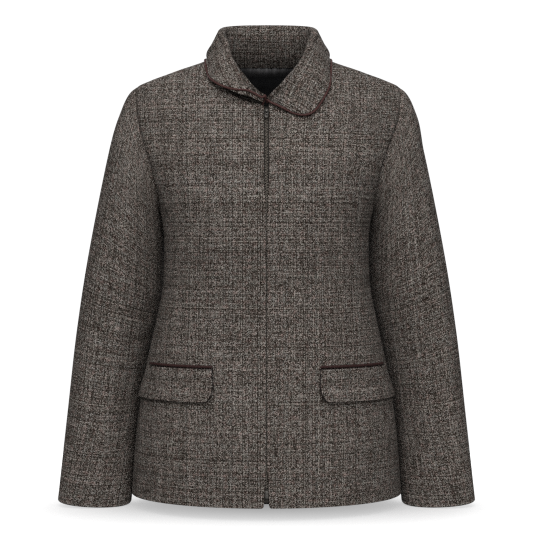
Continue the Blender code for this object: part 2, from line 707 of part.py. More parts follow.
def build():
    """Every piece of the jacket."""
    for item in list(bpy.data.objects):
        bpy.data.objects.remove(item, do_unlink=True)
    jacket = bpy.data.collections.new("jacket")
    cutters = bpy.data.collections.new("cutters")
    for collection in (jacket, cutters):
        bpy.context.scene.collection.children.link(collection)

    tweed = paint("wool_tweed", (0.085, 0.075, 0.070), 0.9)
    satin = paint("black_satin", (0.006, 0.006, 0.008), 0.35)
    wine = paint("wine_satin", (0.060, 0.012, 0.020), 0.5)
    tape = paint("zip_tape_cloth", (0.020, 0.018, 0.020), 0.8)
    metal = paint("gunmetal", (0.10, 0.10, 0.10), 0.4, metallic=1.0)

    sleeve_points, sleeve_normals, mitre = sleeve_grid()
    sleeve = (sleeve_points, sleeve_normals)
    front = front_grid(mitre)
    back = back_grid(mitre)
    loft("front_left", *front, CLOTH, tweed, jacket)
    loft("front_right", *mirrored(front), CLOTH, tweed, jacket)
    loft("back", *back, CLOTH, tweed, jacket)
    loft("sleeve_left", *sleeve, CLOTH, tweed, jacket, ring=True)
    loft("sleeve_right", *mirrored(sleeve), CLOTH, tweed, jacket, ring=True)

    inset = (CLOTH + LINING) / 2 + SEAM
    lining_points = back[0][1:] - back[1][1:] * inset
    loft("lining_back", lining_points, back[1][1:], LINING, satin, jacket)

    trees = [outer_tree(*front), outer_tree(*mirrored(front)), outer_tree(*back)]
    collar_points, collar_normals = collar_grid(trees)
    loft("collar", collar_points, collar_normals, COLLAR_CLOTH, tweed, jacket)
    path = piping_path(collar_points, collar_normals)
    lift_clear(path[None], trees, PIPING_RADIUS + 2 * SEAM)
    cord("collar_piping", path, PIPING_RADIUS, wine, jacket)

    flap = flap_grid()
    loft("flap_left", *flap, FLAP_CLOTH, tweed, jacket)
    loft("flap_right", *mirrored(flap), FLAP_CLOTH, tweed, jacket)
    mouth = pocket_piping_path()
    cord("pocket_piping_left", mouth, POCKET_PIPING_RADIUS, wine, jacket)
    cord("pocket_piping_right", mouth * (-1, 1, 1), POCKET_PIPING_RADIUS, wine, jacket)

    chain_sink = (CLOTH + CHAIN_THICKNESS) / 2 + SEAM
    tape_sink = chain_sink + (CHAIN_THICKNESS + TAPE_THICKNESS) / 2 + SEAM
    tape_rows = zip_heights(NECK_FRONT_Z, HEM_Z + 0.006)
    chain_rows = zip_heights(CHAIN_TOP_Z, CHAIN_BOTTOM_Z)
    box_rows = zip_heights(BOX_Z + BOX_SIZE[2] / 2, BOX_Z - BOX_SIZE[2] / 2)
    loft("zip_tape", *strip_grid(TAPE_HALF_WIDTH, tape_rows, tape_sink), TAPE_THICKNESS, tape, jacket)
    loft("zip_chain", *strip_grid(CHAIN_HALF_WIDTH, chain_rows, chain_sink), CHAIN_THICKNESS, metal, jacket)
    loft("zip_box", *strip_grid(BOX_SIZE[0] / 2, box_rows, chain_sink), BOX_SIZE[1], metal, jacket)
    build_slider(metal, jacket, cutters)

    for item in cutters.objects:
        item.hide_render = True
        item.display_type = "WIRE"


build()
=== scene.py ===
"""Looks of a tweed zip jacket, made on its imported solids.

Metres, +Z up, the front towards -Y, +X the wearer's left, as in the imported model.
"""
import math
from collections import namedtuple

import bpy
import bmesh
import numpy as np
from mathutils import Matrix, Vector
from mathutils.bvhtree import BVHTree


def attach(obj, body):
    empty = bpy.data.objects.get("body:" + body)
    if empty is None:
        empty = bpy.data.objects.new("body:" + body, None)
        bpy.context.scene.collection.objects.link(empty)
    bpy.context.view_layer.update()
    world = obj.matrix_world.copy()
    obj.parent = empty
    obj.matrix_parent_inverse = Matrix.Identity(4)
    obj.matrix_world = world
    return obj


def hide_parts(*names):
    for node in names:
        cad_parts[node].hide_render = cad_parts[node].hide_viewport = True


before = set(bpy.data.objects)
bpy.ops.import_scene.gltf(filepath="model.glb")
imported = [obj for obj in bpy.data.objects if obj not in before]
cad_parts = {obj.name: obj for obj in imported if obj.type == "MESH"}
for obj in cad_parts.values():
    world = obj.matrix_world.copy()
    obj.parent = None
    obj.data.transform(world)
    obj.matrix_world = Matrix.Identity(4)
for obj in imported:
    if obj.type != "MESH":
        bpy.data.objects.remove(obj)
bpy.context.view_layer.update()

# Tables of shapes and creases are in millimetres, all else in metres
MM = 0.001

# Cloth and seams
CLOTH = 0.0024
COLLAR_CLOTH = 0.0030
FLAP_CLOTH = 0.0020
LINING = 0.0010
SEAM = 0.0003
PIPING_RADIUS = 0.0016
POCKET_PIPING_RADIUS = 0.0019
FOLD_RADIUS = 0.0013
SEAM_RADIUS = 0.0004
EDGE_STEPS = (0, 0.00012, 0.0004, 0.0008, 0.0013, 0.0022)
MITRE_REACH = 0.008
ARM_ROLL = 0.009

# The wearer's left shoulder and collar stand a little wider than the right
EASE = 0.0046
EASE_LOW_Z = -0.130
EASE_HIGH_Z = -0.075
EASE_X = 0.075

# Torso, neckline and armhole
HEM_Z = -0.624
HEM_CORNER = 0.0042
ARMPIT_Z = -0.212
SHOULDER_Z = -0.038
NECK_TOP_Z = 0.003
NECK_HALF_WIDTH = 0.078
FRONT_TOP_Z = 0.0005
FRONT_NECK_END = 87
COLLAR_SEAM = 0.0008
COLLAR_TUCK = 0.0045
STAND_TUCK = 0.0085
ARM_FRONT_DEPTH = 0.048
ARM_BACK_DEPTH = 0.050
ARM_SKEW = 0.45
ARM_SINK = 0.028
ARM_SINK_BACK = 0.005
ARM_SWELL = 0.0045
SWELL_REACH = 0.040
ARM_STEPS = 44
NECK_STEP = 12
BODY_STEPS = 98
SHOULDER_STEPS = 20
FRONT_COLUMNS = 60
BACK_COLUMNS = 112
GRID_STEP = 0.0042
GRAIN_STEPS = 41
GRAIN_HEIGHTS = 400
EGG_SHARE = 0.45
SINK_RISE = 2.2
SINK_FADE = 0.6
SWELL_AT = 0.32
SWELL_WIDTH = 0.22
ARM_TURNS = np.linspace(0, math.pi, ARM_STEPS + 1)

# Level sections of the torso from the neck down: height, half width, depth to the front and back, squareness
TORSO = np.array([
    (3, 78, 30, 60, 2),
    (-5.5, 102, 35, 64, 2),
    (-17.5, 136.7, 43, 70, 2),
    (-29, 167, 51, 76, 2.05),
    (-38, 185.5, 58, 81, 2.1),
    (-60, 190, 72, 91, 2.15),
    (-86, 190.5, 87, 101, 2.2),
    (-126, 186, 107, 111, 2.2),
    (-170, 172, 121, 115, 2.2),
    (-212, 153.5, 127, 112, 2.2),
    (-260, 146.5, 126, 106, 2.2),
    (-320, 148.5, 120, 102, 2.2),
    (-380, 160, 119, 105, 2.2),
    (-450, 175, 127, 116, 2.2),
    (-540, 188, 139, 130, 2.12),
    (-624, 194.5, 149, 142, 2.05),
]) * (MM, MM, MM, MM, 1)

# Height and half width of the slit between the fronts, where the zip shows
SLIT = np.array([
    (-64, 3.2),
    (-90, 3.7),
    (-130, 3.7),
    (-175, 3),
    (-215, 1.4),
    (-270, 0.7),
    (-450, 0.7),
    (-570, 0.8),
    (-598, 2.6),
    (-624, 3.6),
]) * MM

# Rings of a sleeve from armhole to cuff: number, outer x and z, inner x and z, middle y, half depth,
# forward pitch, and how far the inner side is tucked back behind the body
SLEEVE = np.array([
    (0, 184.5, -38, 153.5, -212, 0, 52, 0, 0),
    (1, 194.5, -45, 155.3, -209.8, 0, 54, 0, 3),
    (2, 202.5, -56.5, 155.2, -212.4, 0, 56.5, 0, 7),
    (3, 209.5, -73, 154.1, -219.5, 0, 58, 0, 11),
    (5, 222.5, -113, 150.2, -242, 0, 59.5, 0, 19),
    (7, 241.5, -200, 149.4, -288, 1, 59, 0, 24),
    (9, 260.5, -300, 155, -348, 2, 56, 0.02, 23),
    (11, 273.5, -385, 169.6, -412, 2, 51, 0.06, 20),
    (14, 287, -503, 188, -513, -1, 45.5, 0.13, 14),
    (17, 300.6, -626, 197.9, -631.5, -6, 42.5, 0.26, 10),
]) * (1, MM, MM, MM, MM, MM, MM, 1, MM)
LAST_RING = 17
SLEEVE_BLEND = 5
SLEEVE_FULLNESS = 1.0
SLEEVE_HOLLOW = 0.022
HOLLOW_START = 2
HOLLOW_LENGTH = 4
HOLLOW_POWER = 4
CUFF_FULLNESS = 0.70
CUFF_DROP = 0.006
CUFF_START = 12
ARM_TURN = 4
SLEEVE_STEPS = 8
SLEEVE_START = 0.03

# The collar from centre front (0) to centre back (1): degrees round the neck, and x, y and z of its roll
COLLAR_ROLL = np.array([
    (0, 2, 2.4, -83, -60.5),
    (0.1, 13, 11.5, -80, -50.5),
    (0.2, 27, 22.5, -75.5, -39),
    (0.27, 38, 31, -71, -28),
    (0.34, 49, 40, -63.5, -16),
    (0.42, 62, 50, -50, 1),
    (0.5, 76, 59, -31, 20),
    (0.58, 91, 67, -8, 37.5),
    (0.7, 113, 64.5, 24, 50),
    (0.85, 146, 41, 45, 55.5),
    (1, 180, 0, 53, 57),
]) * (1, 1, MM, MM, MM)

# The free edge of each leaf of the collar, x, y and z; the wearer's right leaf lifts off the chest
LEAF_LEFT = np.array([
    (0, 34.5, -89, -79),
    (0.05, 47, -90, -82),
    (0.1, 57, -88, -80),
    (0.15, 64, -84, -74),
    (0.2, 69.5, -78, -66),
    (0.27, 76, -71, -55),
    (0.34, 82, -62, -43),
    (0.42, 85, -50, -29),
    (0.5, 85.6, -27, -12.5),
    (0.58, 84.4, 4, -1),
    (0.7, 77.2, 36, -2),
    (0.85, 50, 64, -5),
    (1, 0, 75, -6.5),
]) * (1, MM, MM, MM)
LIFTED = np.array([
    (0, 4.5, -90, -58),
    (0.05, 24.5, -90.5, -48.2),
    (0.1, 38.5, -88.5, -45.8),
    (0.15, 51.5, -84.2, -42.7),
    (0.2, 60.8, -79.5, -39.7),
    (0.27, 69.5, -73.3, -35.9),
    (0.34, 77, -64, -30.5),
    (0.42, 82, -47, -23),
    (0.5, 84.4, -25, -11.5),
]) * (1, MM, MM, MM)
LEAF_RIGHT = np.concatenate([LIFTED, LEAF_LEFT[-4:]])
ROLL_RADIUS = 0.0032
LEAF_BULGE = 0.0035
LEAF_SWELL = 0.0032
LEAF_CLEARANCE = 0.0004
LIFT_ROUNDS = 6
LEAF_SWELL_AT = 0.62
LEAF_SWELL_WIDTH = 0.17
SWELL_SHARES = (-0.8, 0.5, 1.2)
BULGE_SHARES = (0.9, 0.8)
EDGE_SHARE = 0.3
TUCK_FRONT = (84, 20)
TUCK_BACK = (92, 22)
TURN_AT = 0.05
TURN_WIDTH = 0.13
TURN_DROP = (0.0, 0.0012, -0.0095)
COLLAR_STATIONS = 89
STATION_POWER = 1.25
STAND_STEPS = 16
ROLL_STEPS = 9
FALL_STEPS = 24
ROLL_MARK = 1.55
FALL_MARK = 2.1
CLEAR_MARK = 2.2
TURN_MARK = 3.9
EDGE_MARK = 4.1
SECTION_MARKS = (0, 1, ROLL_MARK, FALL_MARK, 2.77, 3.43, TURN_MARK, EDGE_MARK)
STAND_HEIGHT = 0.045
FALL_HEIGHT = 0.030
PIPING_START = 0.55
PIPING_STEP = 0.0022
PIPING_INSET = 3
PIPING_FACE = (0.0, -1.0, 0.5)
PATH_ROUNDS = 3
TUBE_SIDES = 14
TUBE_CAP = (90, 60, 30)
TUBE_TIP = 0.02
TUBE_SIDE = (0.3, 0.5, 0.8)

# Pocket flaps, as angles round the torso and heights
FLAP_TOP_Z = -0.4358
FLAP_BOTTOM_Z = -0.4830
FLAP_TOP_INNER = 22.9
FLAP_TOP_OUTER = 74.0
FLAP_BOTTOM_INNER = 21.4
FLAP_BOTTOM_OUTER = 84.0
FLAP_ROUND = (0.013, 0.024)
FLAP_CORNER = (0.006, 0.006)
FLAP_COLUMNS = 64
FLAP_ROWS = 16
FLAP_CLEARANCE = 0.0010
FLAP_LIFT = 0.0036
LIFT_FADE = 0.6
FLAP_CURL = 0.0042
CURL_RISE = 4
# The flap's dark rim, widest towards the zip: partly its wine lining showing at the edge, partly painted
# shade for the gap under the flap
FLAP_RIM = (0.0009, 0.0019)
FLAP_RIM_REACH = 0.020
FLAP_STEP = 0.003
FLAP_GRAIN = (0.0523, 0.0311)
PIPING_INNER = 23.7
PIPING_OUTER = 68.5

# Zip
TAPE_HALF_WIDTH = 0.0120
TAPE_THICKNESS = 0.0008
TAPE_HEM = 0.006
TAPE_ROWS = 160
TAPE_COLUMNS = 17
TAPE_RADIUS = 0.0004
CHAIN_THICKNESS = 0.0016
SLIDER_Z = -0.0775
SLIDER_SIZE = (0.0070, 0.0110, 0.0042)
SLIDER_TAPER = 0.78
SLIDER_SQUARE = 3.4
SLIDER_BEVEL = 0.0006
CHAIN_TOP_Z = -0.0850
CHAIN_BOTTOM_Z = -0.5985
BOX_SIZE = (0.0062, 0.0016, 0.0120)
BOX_Z = -0.6060
BOX_SQUARE = 5.0
BOX_BEVEL = 0.0004
BRIDGE_SIZE = (0.0018, 0.0084, 0.0042)
BRIDGE_WINDOW = (0.0060, 0.0026)
BRIDGE_SINK = 0.0006
BRIDGE_STEPS = 17
ARCH_POWER = 0.55
BAR_POWER = 0.2
PULL_SIZE = (0.0056, 0.0135, 0.0012)
PULL_BAR = 0.0014
PULL_WINDOW = (0.0034, 0.0066)
PULL_SQUARE = 3.0
PULL_BEVEL = 0.0003
SLIDER_BACK = -(CLOTH / 2 + SEAM + CHAIN_THICKNESS)
TOOTH_SIZE = (0.0031, 0.0009, 0.0015)
TOOTH_PITCH = 0.0022
TOOTH_OFFSET = 0.0009
TOOTH_BEVEL = 0.00022
METAL_CREASE = 40
RIM_ANGLE = 1.0
OVAL_POINTS = 36

# Creases as lines on the flat cloth: u and v of both ends, width, depth and bow
CREASES = {
    "front_left": (
        (206, 428, 122, 462, 11, 1, 10),
        (216, 392, 138, 370, 13, 0.9, -8),
        (212, 318, 148, 300, 10, 1.1, 6),
        (206, 282, 164, 262, 8, 0.7, 4),
        (30, 296, 85, 333, 14, 0.6, 6),
        (46, 6, 52, 118, 20, 0.9, 4),
        (156, 4, 146, 106, 24, 1.2, -5),
    ),
    "front_right": (
        (208, 436, 118, 455, 12, 0.9, 12),
        (214, 404, 146, 388, 10, 1.1, -6),
        (210, 306, 140, 296, 11, 1, 8),
        (208, 334, 168, 344, 9, 0.6, -4),
        (26, 352, 70, 330, 15, 0.6, -6),
        (74, 4, 66, 96, 22, 1, 4),
        (188, 6, 174, 112, 21, 0.9, 6),
    ),
    "back": (
        (196, 345, 70, 318, 13, 1.6, 10),
        (190, 306, 92, 296, 10, 1.2, -6),
        (-198, 338, -58, 322, 14, 1.5, 12),
        (-188, 312, -104, 288, 10, 1.1, -5),
        (40, 338, -46, 330, 16, 0.9, 4),
        (152, 420, 140, 590, 16, 1.6, 8),
        (-150, 430, -142, 582, 15, 1.8, -8),
        (110, 4, 94, 170, 30, 1.6, 6),
        (-30, 4, -24, 150, 34, 1.4, -4),
        (-164, 4, -146, 160, 28, 1.7, -6),
        (62, 588, -66, 582, 14, 1, 10),
    ),
    "sleeve_left": (
        (150, -205, 62, -246, 11, 1.4, 8),
        (146, -262, 72, -276, 9, 1.2, -5),
        (148, -316, 84, -302, 10, 1.3, 6),
        (128, -362, 50, -338, 12, 0.8, 6),
        (-146, -226, -70, -262, 11, 1.5, 7),
        (-142, -296, -66, -292, 10, 1.7, -6),
        (-136, -346, -74, -320, 10, 1.3, 6),
        (-52, -118, -60, -232, 14, 1, 6),
        (104, -420, 46, -460, 12, 0.7, 6),
        (-100, -470, -50, -438, 12, 0.9, -6),
    ),
    "sleeve_right": (
        (152, -222, 56, -252, 12, 1.3, 9),
        (150, -276, 82, -294, 9, 1.4, -4),
        (142, -338, 70, -318, 11, 1.1, 6),
        (128, -392, 60, -376, 12, 0.7, 5),
        (-148, -212, -64, -250, 12, 1.4, 8),
        (-140, -282, -72, -280, 9, 1.6, -5),
        (-138, -330, -62, -312, 11, 1.4, 6),
        (-60, -96, -54, -210, 15, 0.9, -6),
        (96, -446, 40, -472, 12, 0.8, 6),
        (-106, -500, -48, -470, 12, 0.8, -6),
    ),
}
CREASE_FLANK = 0.32
FLANK_AT = (1.9, 0.8)
CREASE_POWER = 0.8
CREASE_WAVE = (0.8, 0.2, 9, 40)
CREASE_NARROW = 0.75
CREASE_WIDEN = 0.5
PUCKER_DEPTH = 0.0003
PUCKER_REACH = 0.010
PUCKER_WAVE = (0.019, 2.2, 0.031)
PUCKER_LEVEL = 0.7
PUCKER_SWING = 0.8

# The lining's dark grey band under the neck seam, a painted sheen for light caught by the satin there; its
# pleats and its roll
NECK_GRAIN = 0.6535
BAND_LOW = 0.0215
BAND_HIGH = 0.0125
PAINTED_SHEEN_COLOUR = (0.054, 0.052, 0.053)
PLEAT_DEPTH = 0.0022
PLEAT_WAVE = (0.0135, 1.4, 0.021)
PLEAT_SPREAD = 0.085
PLEAT_AT = 0.014
PLEAT_REACH = 0.026
LINING_HEM = 0.0290
LINING_EDGE = 0.004
LINING_RADIUS = 0.0005
LINING_ROLL = 0.0036
ROLL_AT = 0.0115
ROLL_REACH = 0.0065

# Edges of the panels (0 first row, 1 last row, 2 first column, 3 last column) that hang free,
# and those drawn in by a seam
FREE_EDGES = {
    "front_left": (0, 2), "front_right": (0, 3), "back": (0,), "sleeve_left": (1,), "sleeve_right": (1,)}
DRAWN_EDGES = {
    "front_left": (3,), "front_right": (2,), "back": (2, 3), "sleeve_left": (0,), "sleeve_right": (0,)}

# Flat sizes of the cut cloth: width, length and area
Cut = namedtuple("Cut", "width length area")

# Yarns of the tweed
YARN = 0.0008
SLUB = 32.0
SLUB_DEPTH = 0.50
PALE_YARN = 1.35
DARK_YARN = 0.40
PAIR_DEPTH = 0.66
FLECK = (0.31, 1.39)
# The collar's painted shade: its colour darkens towards the neck seam, where the neck's hollow lies in shade
PAINTED_NECK_SHADE = (0.006, 0.052, 0.25, 0.97)

# Camera, floor and light; lamps have a place, a target, a size and a power
CAMERA = (0.0, -2.4, -0.2465)
TARGET = (0.0, 0.0, -0.2965)
VIEW_WIDTH = 0.77285
SENSOR = 36.0
CLIP_END = 200.0
FLOOR_Z = -0.6412
FLOOR_SIZE = 1.2
# The floor's glow by distance from its middle: weak near the middle as a painted soft shadow under the
# jacket, full further out
FLOOR_GLOW_AND_PAINTED_SHADOW = (-0.03, 0.26, 0.28, 0.90)
FLOOR_SPREAD = (0.45, 1.0, 0.0)
BACKDROP = 1.05
AMBIENT = (-0.15, 0.85, 0.05, 0.55)
KEY = ((-0.25, -1.7, 1.1), (0.0, 0.0, -0.15), 1.4, 33.0)
FILL = ((0.5, -2.4, -0.2), (0.0, 0.0, -0.2), 1.6, 18.5)
BACK = ((0.3, 2.4, 0.6), (0.0, 0.0, -0.3), 3.0, 40.0)
WHITE = (1.0, 1.0, 1.0, 1.0)


# Curves, shares and grids

def smooth(table, level=False):
    """A smooth curve by a table's first column; a level one adds no bumps between the rows."""
    table = table[np.argsort(table[:, 0])]
    knots, values = table[:, 0], table[:, 1:]
    step = np.diff(knots)[:, None]
    slope = np.diff(values, axis=0) / step
    before, after = step[:-1], step[1:]
    if level:
        product = slope[:-1] * slope[1:]
        total = (2 * after + before) * slope[1:] + (after + 2 * before) * slope[:-1]
        total = np.where(product > 0, total, 1)
        bend = np.where(product > 0, 3 * (before + after) * product / total, 0)
    else:
        bend = (slope[:-1] * after + slope[1:] * before) / (before + after)
    tangent = np.concatenate([slope[:1], bend, slope[-1:]])

    def curve(at):
        at = np.clip(np.asarray(at, float), knots[0], knots[-1])
        index = np.clip(np.searchsorted(knots, at, side="right") - 1, 0, len(knots) - 2)
        width = step[index]
        u = (at - knots[index])[..., None] / width
        start = values[index] * (1 + 2 * u) * (1 - u) ** 2 + tangent[index] * width * u * (1 - u) ** 2
        end = values[index + 1] * u * u * (3 - 2 * u) + tangent[index + 1] * width * u * u * (u - 1)
        return start + end

    return curve


def unit(vectors):
    """Vectors of length one."""
    return vectors / np.maximum(np.linalg.norm(vectors, axis=-1, keepdims=True), 1e-12)


def lengths(path):
    """Lengths along a path from its first point."""
    return np.concatenate([[0], np.cumsum(np.linalg.norm(np.diff(path, axis=0), axis=1))])


def clamp(share):
    """Shares kept between none and all."""
    return np.clip(share, 0, 1)


def soft(share):
    """Shares that start and end softly."""
    share = clamp(share)
    return share ** 2 * (3 - 2 * share)


def hump(value, middle, width):
    """A bell-shaped share, all at its middle."""
    return np.exp(-((value - middle) / width) ** 2)


def rounded(distance, radius):
    """The share of full height at a distance from a rounded edge."""
    return np.sqrt(1 - (1 - clamp(distance / radius)) ** 2)


def uneven(along, length, drift, slow):
    """Turns of waves whose length drifts."""
    return 2 * math.pi * along / length + drift * np.sin(along / slow)


def quads(grid):
    """The four corners of each cell of a grid."""
    corners = [grid[:-1, :-1], grid[:-1, 1:], grid[1:, 1:], grid[1:, :-1]]
    return np.stack(corners, 2).reshape((-1, 4) + grid.shape[2:])


def closed(grid):
    """A grid with its first column again at its end."""
    return np.concatenate([grid, grid[:, :1]], axis=1)


torso_sizes = smooth(TORSO, level=True)
slit_half = smooth(SLIT, level=True)
sleeve_sizes = smooth(SLEEVE)


# The torso's surface

def torso(angle, z):
    """Points of the torso at angles from centre front, 90 degrees at the wearer's left side."""
    angle, z = np.broadcast_arrays(np.asarray(angle, float), np.asarray(z, float))
    half_width, front, back, square = np.moveaxis(torso_sizes(z), -1, 0)
    sine, cosine = np.sin(angle), np.cos(angle)
    depth = np.where(cosine > 0, front, back)
    x = half_width * np.sign(sine) * np.abs(sine) ** (2 / square)
    y = -depth * np.sign(cosine) * np.abs(cosine) ** (2 / square)
    return np.stack([x, y, z], -1)


def torso_normal(angle, z):
    """The directions out of the torso."""
    turn, rise = 0.002, 0.0005
    across = torso(angle + turn, z) - torso(angle - turn, z)
    upward = torso(angle, z + rise) - torso(angle, z - rise)
    return unit(np.cross(across, upward))


def torso_grain(angle, z, start):
    """Flat coordinates of points of the torso: length round it from an angle, and length up it."""
    angle, z = np.broadcast_arrays(np.asarray(angle, float), np.asarray(z, float))
    way = np.linspace(0, 1, GRAIN_STEPS)
    track = torso(start + (angle - start)[..., None] * way, z[..., None])
    around = np.linalg.norm(np.diff(track, axis=-2), axis=-1).sum(-1) * np.sign(angle - start)
    heights = np.linspace(HEM_Z, NECK_TOP_Z, GRAIN_HEIGHTS)
    up = np.interp(z, heights, lengths(np.stack([heights, torso_sizes(heights)[:, 1]], 1)))
    return np.stack([around, up], -1)


def angle_at_x(x, z):
    """The angle round the torso's front whose point lies at x."""
    half_width, _, _, square = np.moveaxis(torso_sizes(z), -1, 0)
    return np.arcsin(clamp(x / half_width) ** (square / 2))


# Seam lines

def arm_low(turn):
    """How low a turn round the armhole lies, from the shoulder point to the armpit."""
    return (1 - np.cos(turn)) / 2


def arm_height(turn):
    """Height of the armhole at a turn."""
    return SHOULDER_Z + (ARMPIT_Z - SHOULDER_Z) * arm_low(turn)


def arm_egg(turn):
    """How far the armhole spreads at a turn, widest below its middle."""
    return np.sin(turn) * (1 - ARM_SKEW * np.cos(turn)) / (1 + ARM_SKEW ** 2 * EGG_SHARE)


def arm_sink(turn, behind=False):
    """How far the armhole seam sinks between body and sleeve at a turn, most towards the armpit."""
    most = np.where(behind, ARM_SINK_BACK, ARM_SINK)
    return most * arm_low(turn) ** SINK_RISE * np.maximum(np.sin(turn), 0) ** SINK_FADE


def arm_swell(turn):
    """How far the upper armhole stands out over the shoulder's ball."""
    return ARM_SWELL * hump(arm_low(turn), SWELL_AT, SWELL_WIDTH)


def arm_angle(turn, behind=False):
    """The angle round the torso of the armhole seam."""
    _, front, back, square = np.moveaxis(torso_sizes(arm_height(turn)), -1, 0)
    most, reach = (ARM_BACK_DEPTH, back) if behind else (ARM_FRONT_DEPTH, front)
    angle = np.arccos(clamp(most * arm_egg(turn) / reach) ** (square / 2))
    return math.pi - angle if behind else angle


NECK_FRONT_Z = float(arm_height(ARM_TURNS[NECK_STEP]))


def neck_height(turn):
    """Height of the neckline at a turn from centre front."""
    return NECK_TOP_Z - (NECK_TOP_Z - NECK_FRONT_Z) * np.maximum(np.cos(turn), 0)


def neck_x(turn):
    """Half the width of the front neckline at a turn from centre front."""
    return np.maximum(NECK_HALF_WIDTH * np.sin(turn), SLIT[0, 1])


# Grids of points, with the directions out of the cloth and the places on the flat cloth

Panel = namedtuple("Panel", "points normals grain")


def edge_marks(count, spacing=GRID_STEP):
    """Places along a row of points, closer together at both ends, where the cloth's edge rounds over."""
    near = np.array(EDGE_STEPS) / spacing
    last = count - 1
    return np.concatenate([near, np.arange(1, last), last - near[::-1]])


def edge_distances(points):
    """How far each point lies from the first and last row and the first and last column."""
    distances = []
    for axis in (0, 1):
        step = np.linalg.norm(np.diff(points, axis=axis), axis=-1)
        start = np.zeros_like(np.take(step, [0], axis=axis))
        along = np.concatenate([start, np.cumsum(step, axis=axis)], axis=axis)
        distances += [along, np.take(along, [-1], axis=axis) - along]
    return distances


def towards(normals, aim, distance):
    """Directions that turn to others near an edge."""
    share = clamp(1 - distance / MITRE_REACH)[..., None]
    return unit(normals * (1 - share) + aim * share)


def rolled_in(distance, behind=False):
    """How far the body's cloth sinks near the armhole seam."""
    turns = ARM_TURNS[::-1, None]
    near = clamp(1 - distance / ARM_ROLL)
    swell = arm_swell(turns) * soft(1 - distance / SWELL_REACH)
    return (arm_sink(turns, behind) * near ** 2 - swell)[..., None]


def body_rows(top, behind=False):
    """Heights and side seam of a body panel from the hem up, its rows' places, and which meet the armhole."""
    turns = ARM_TURNS[::-1]
    low = np.linspace(HEM_Z, ARMPIT_Z, BODY_STEPS + 1)[:-1]
    high = np.linspace(SHOULDER_Z, top, SHOULDER_STEPS + 1)[1:]
    z = np.concatenate([low, arm_height(turns), high])
    side = np.full(len(z), math.pi / 2)
    side[len(low):-len(high)] = arm_angle(turns, behind)
    marks = edge_marks(len(z))
    arm = (marks >= len(low)) & (marks <= len(low) + ARM_STEPS)
    return z, side, marks, arm


def read_at(marks, *rows):
    """Rows of values read at places along them."""
    return [np.interp(marks, np.arange(len(row)), row) for row in rows]


def front_panel(mitre):
    """The wearer's left front, from the hem up and from the zip and the neckline to the side."""
    side_z, side, marks, arm = body_rows(FRONT_TOP_Z)
    neck = np.radians(np.linspace(0, FRONT_NECK_END, NECK_STEP + SHOULDER_STEPS + 1))
    below = side_z[:-len(neck)]
    start_z = np.concatenate([below, neck_height(neck)])
    start_x = np.concatenate([slit_half(below)[..., 0], neck_x(neck)])
    side_z, side, start_z, start_x = read_at(marks, side_z, side, start_z, start_x)
    start_x = start_x + HEM_CORNER * (1 - rounded(start_z - HEM_Z, HEM_CORNER))
    start = angle_at_x(start_x, start_z)
    share = edge_marks(FRONT_COLUMNS + 1) / FRONT_COLUMNS
    angle = start[:, None] + (side - start)[:, None] * share
    z = start_z[:, None] + (side_z - start_z)[:, None] * share
    points = torso(angle, z)
    normals = torso_normal(angle, z)
    points[..., 1] = np.minimum(points[..., 1], -SEAM / 2)
    to_side = edge_distances(points)[3][arm]
    points[arm] -= normals[arm] * rolled_in(to_side)
    normals[arm] = towards(normals[arm], mitre[ARM_STEPS::-1][:, None], to_side)
    return Panel(points, normals, torso_grain(angle, z, 0.0))


def back_panel(mitre):
    """The back in one piece, from the hem up and from the left side to the right."""
    z, side, marks, arm = body_rows(NECK_TOP_Z, True)
    z, side = (row[:, None] for row in read_at(marks, z, side))
    angle = side + (2 * math.pi - 2 * side) * edge_marks(BACK_COLUMNS + 1) / BACK_COLUMNS
    points = torso(angle, z)
    normals = torso_normal(angle, z)
    points[..., 1] = np.maximum(points[..., 1], SEAM / 2)
    left, right = (distance[arm] for distance in edge_distances(points)[2:])
    points[arm] -= normals[arm] * (rolled_in(left, True) + rolled_in(right, True))
    aim = np.concatenate([mitre[ARM_STEPS:], mitre[:1]])[:, None]
    normals[arm] = towards(normals[arm], aim, left)
    normals[arm] = towards(normals[arm], aim * (-1, 1, 1), right)
    return Panel(points, normals, torso_grain(angle, z, math.pi))


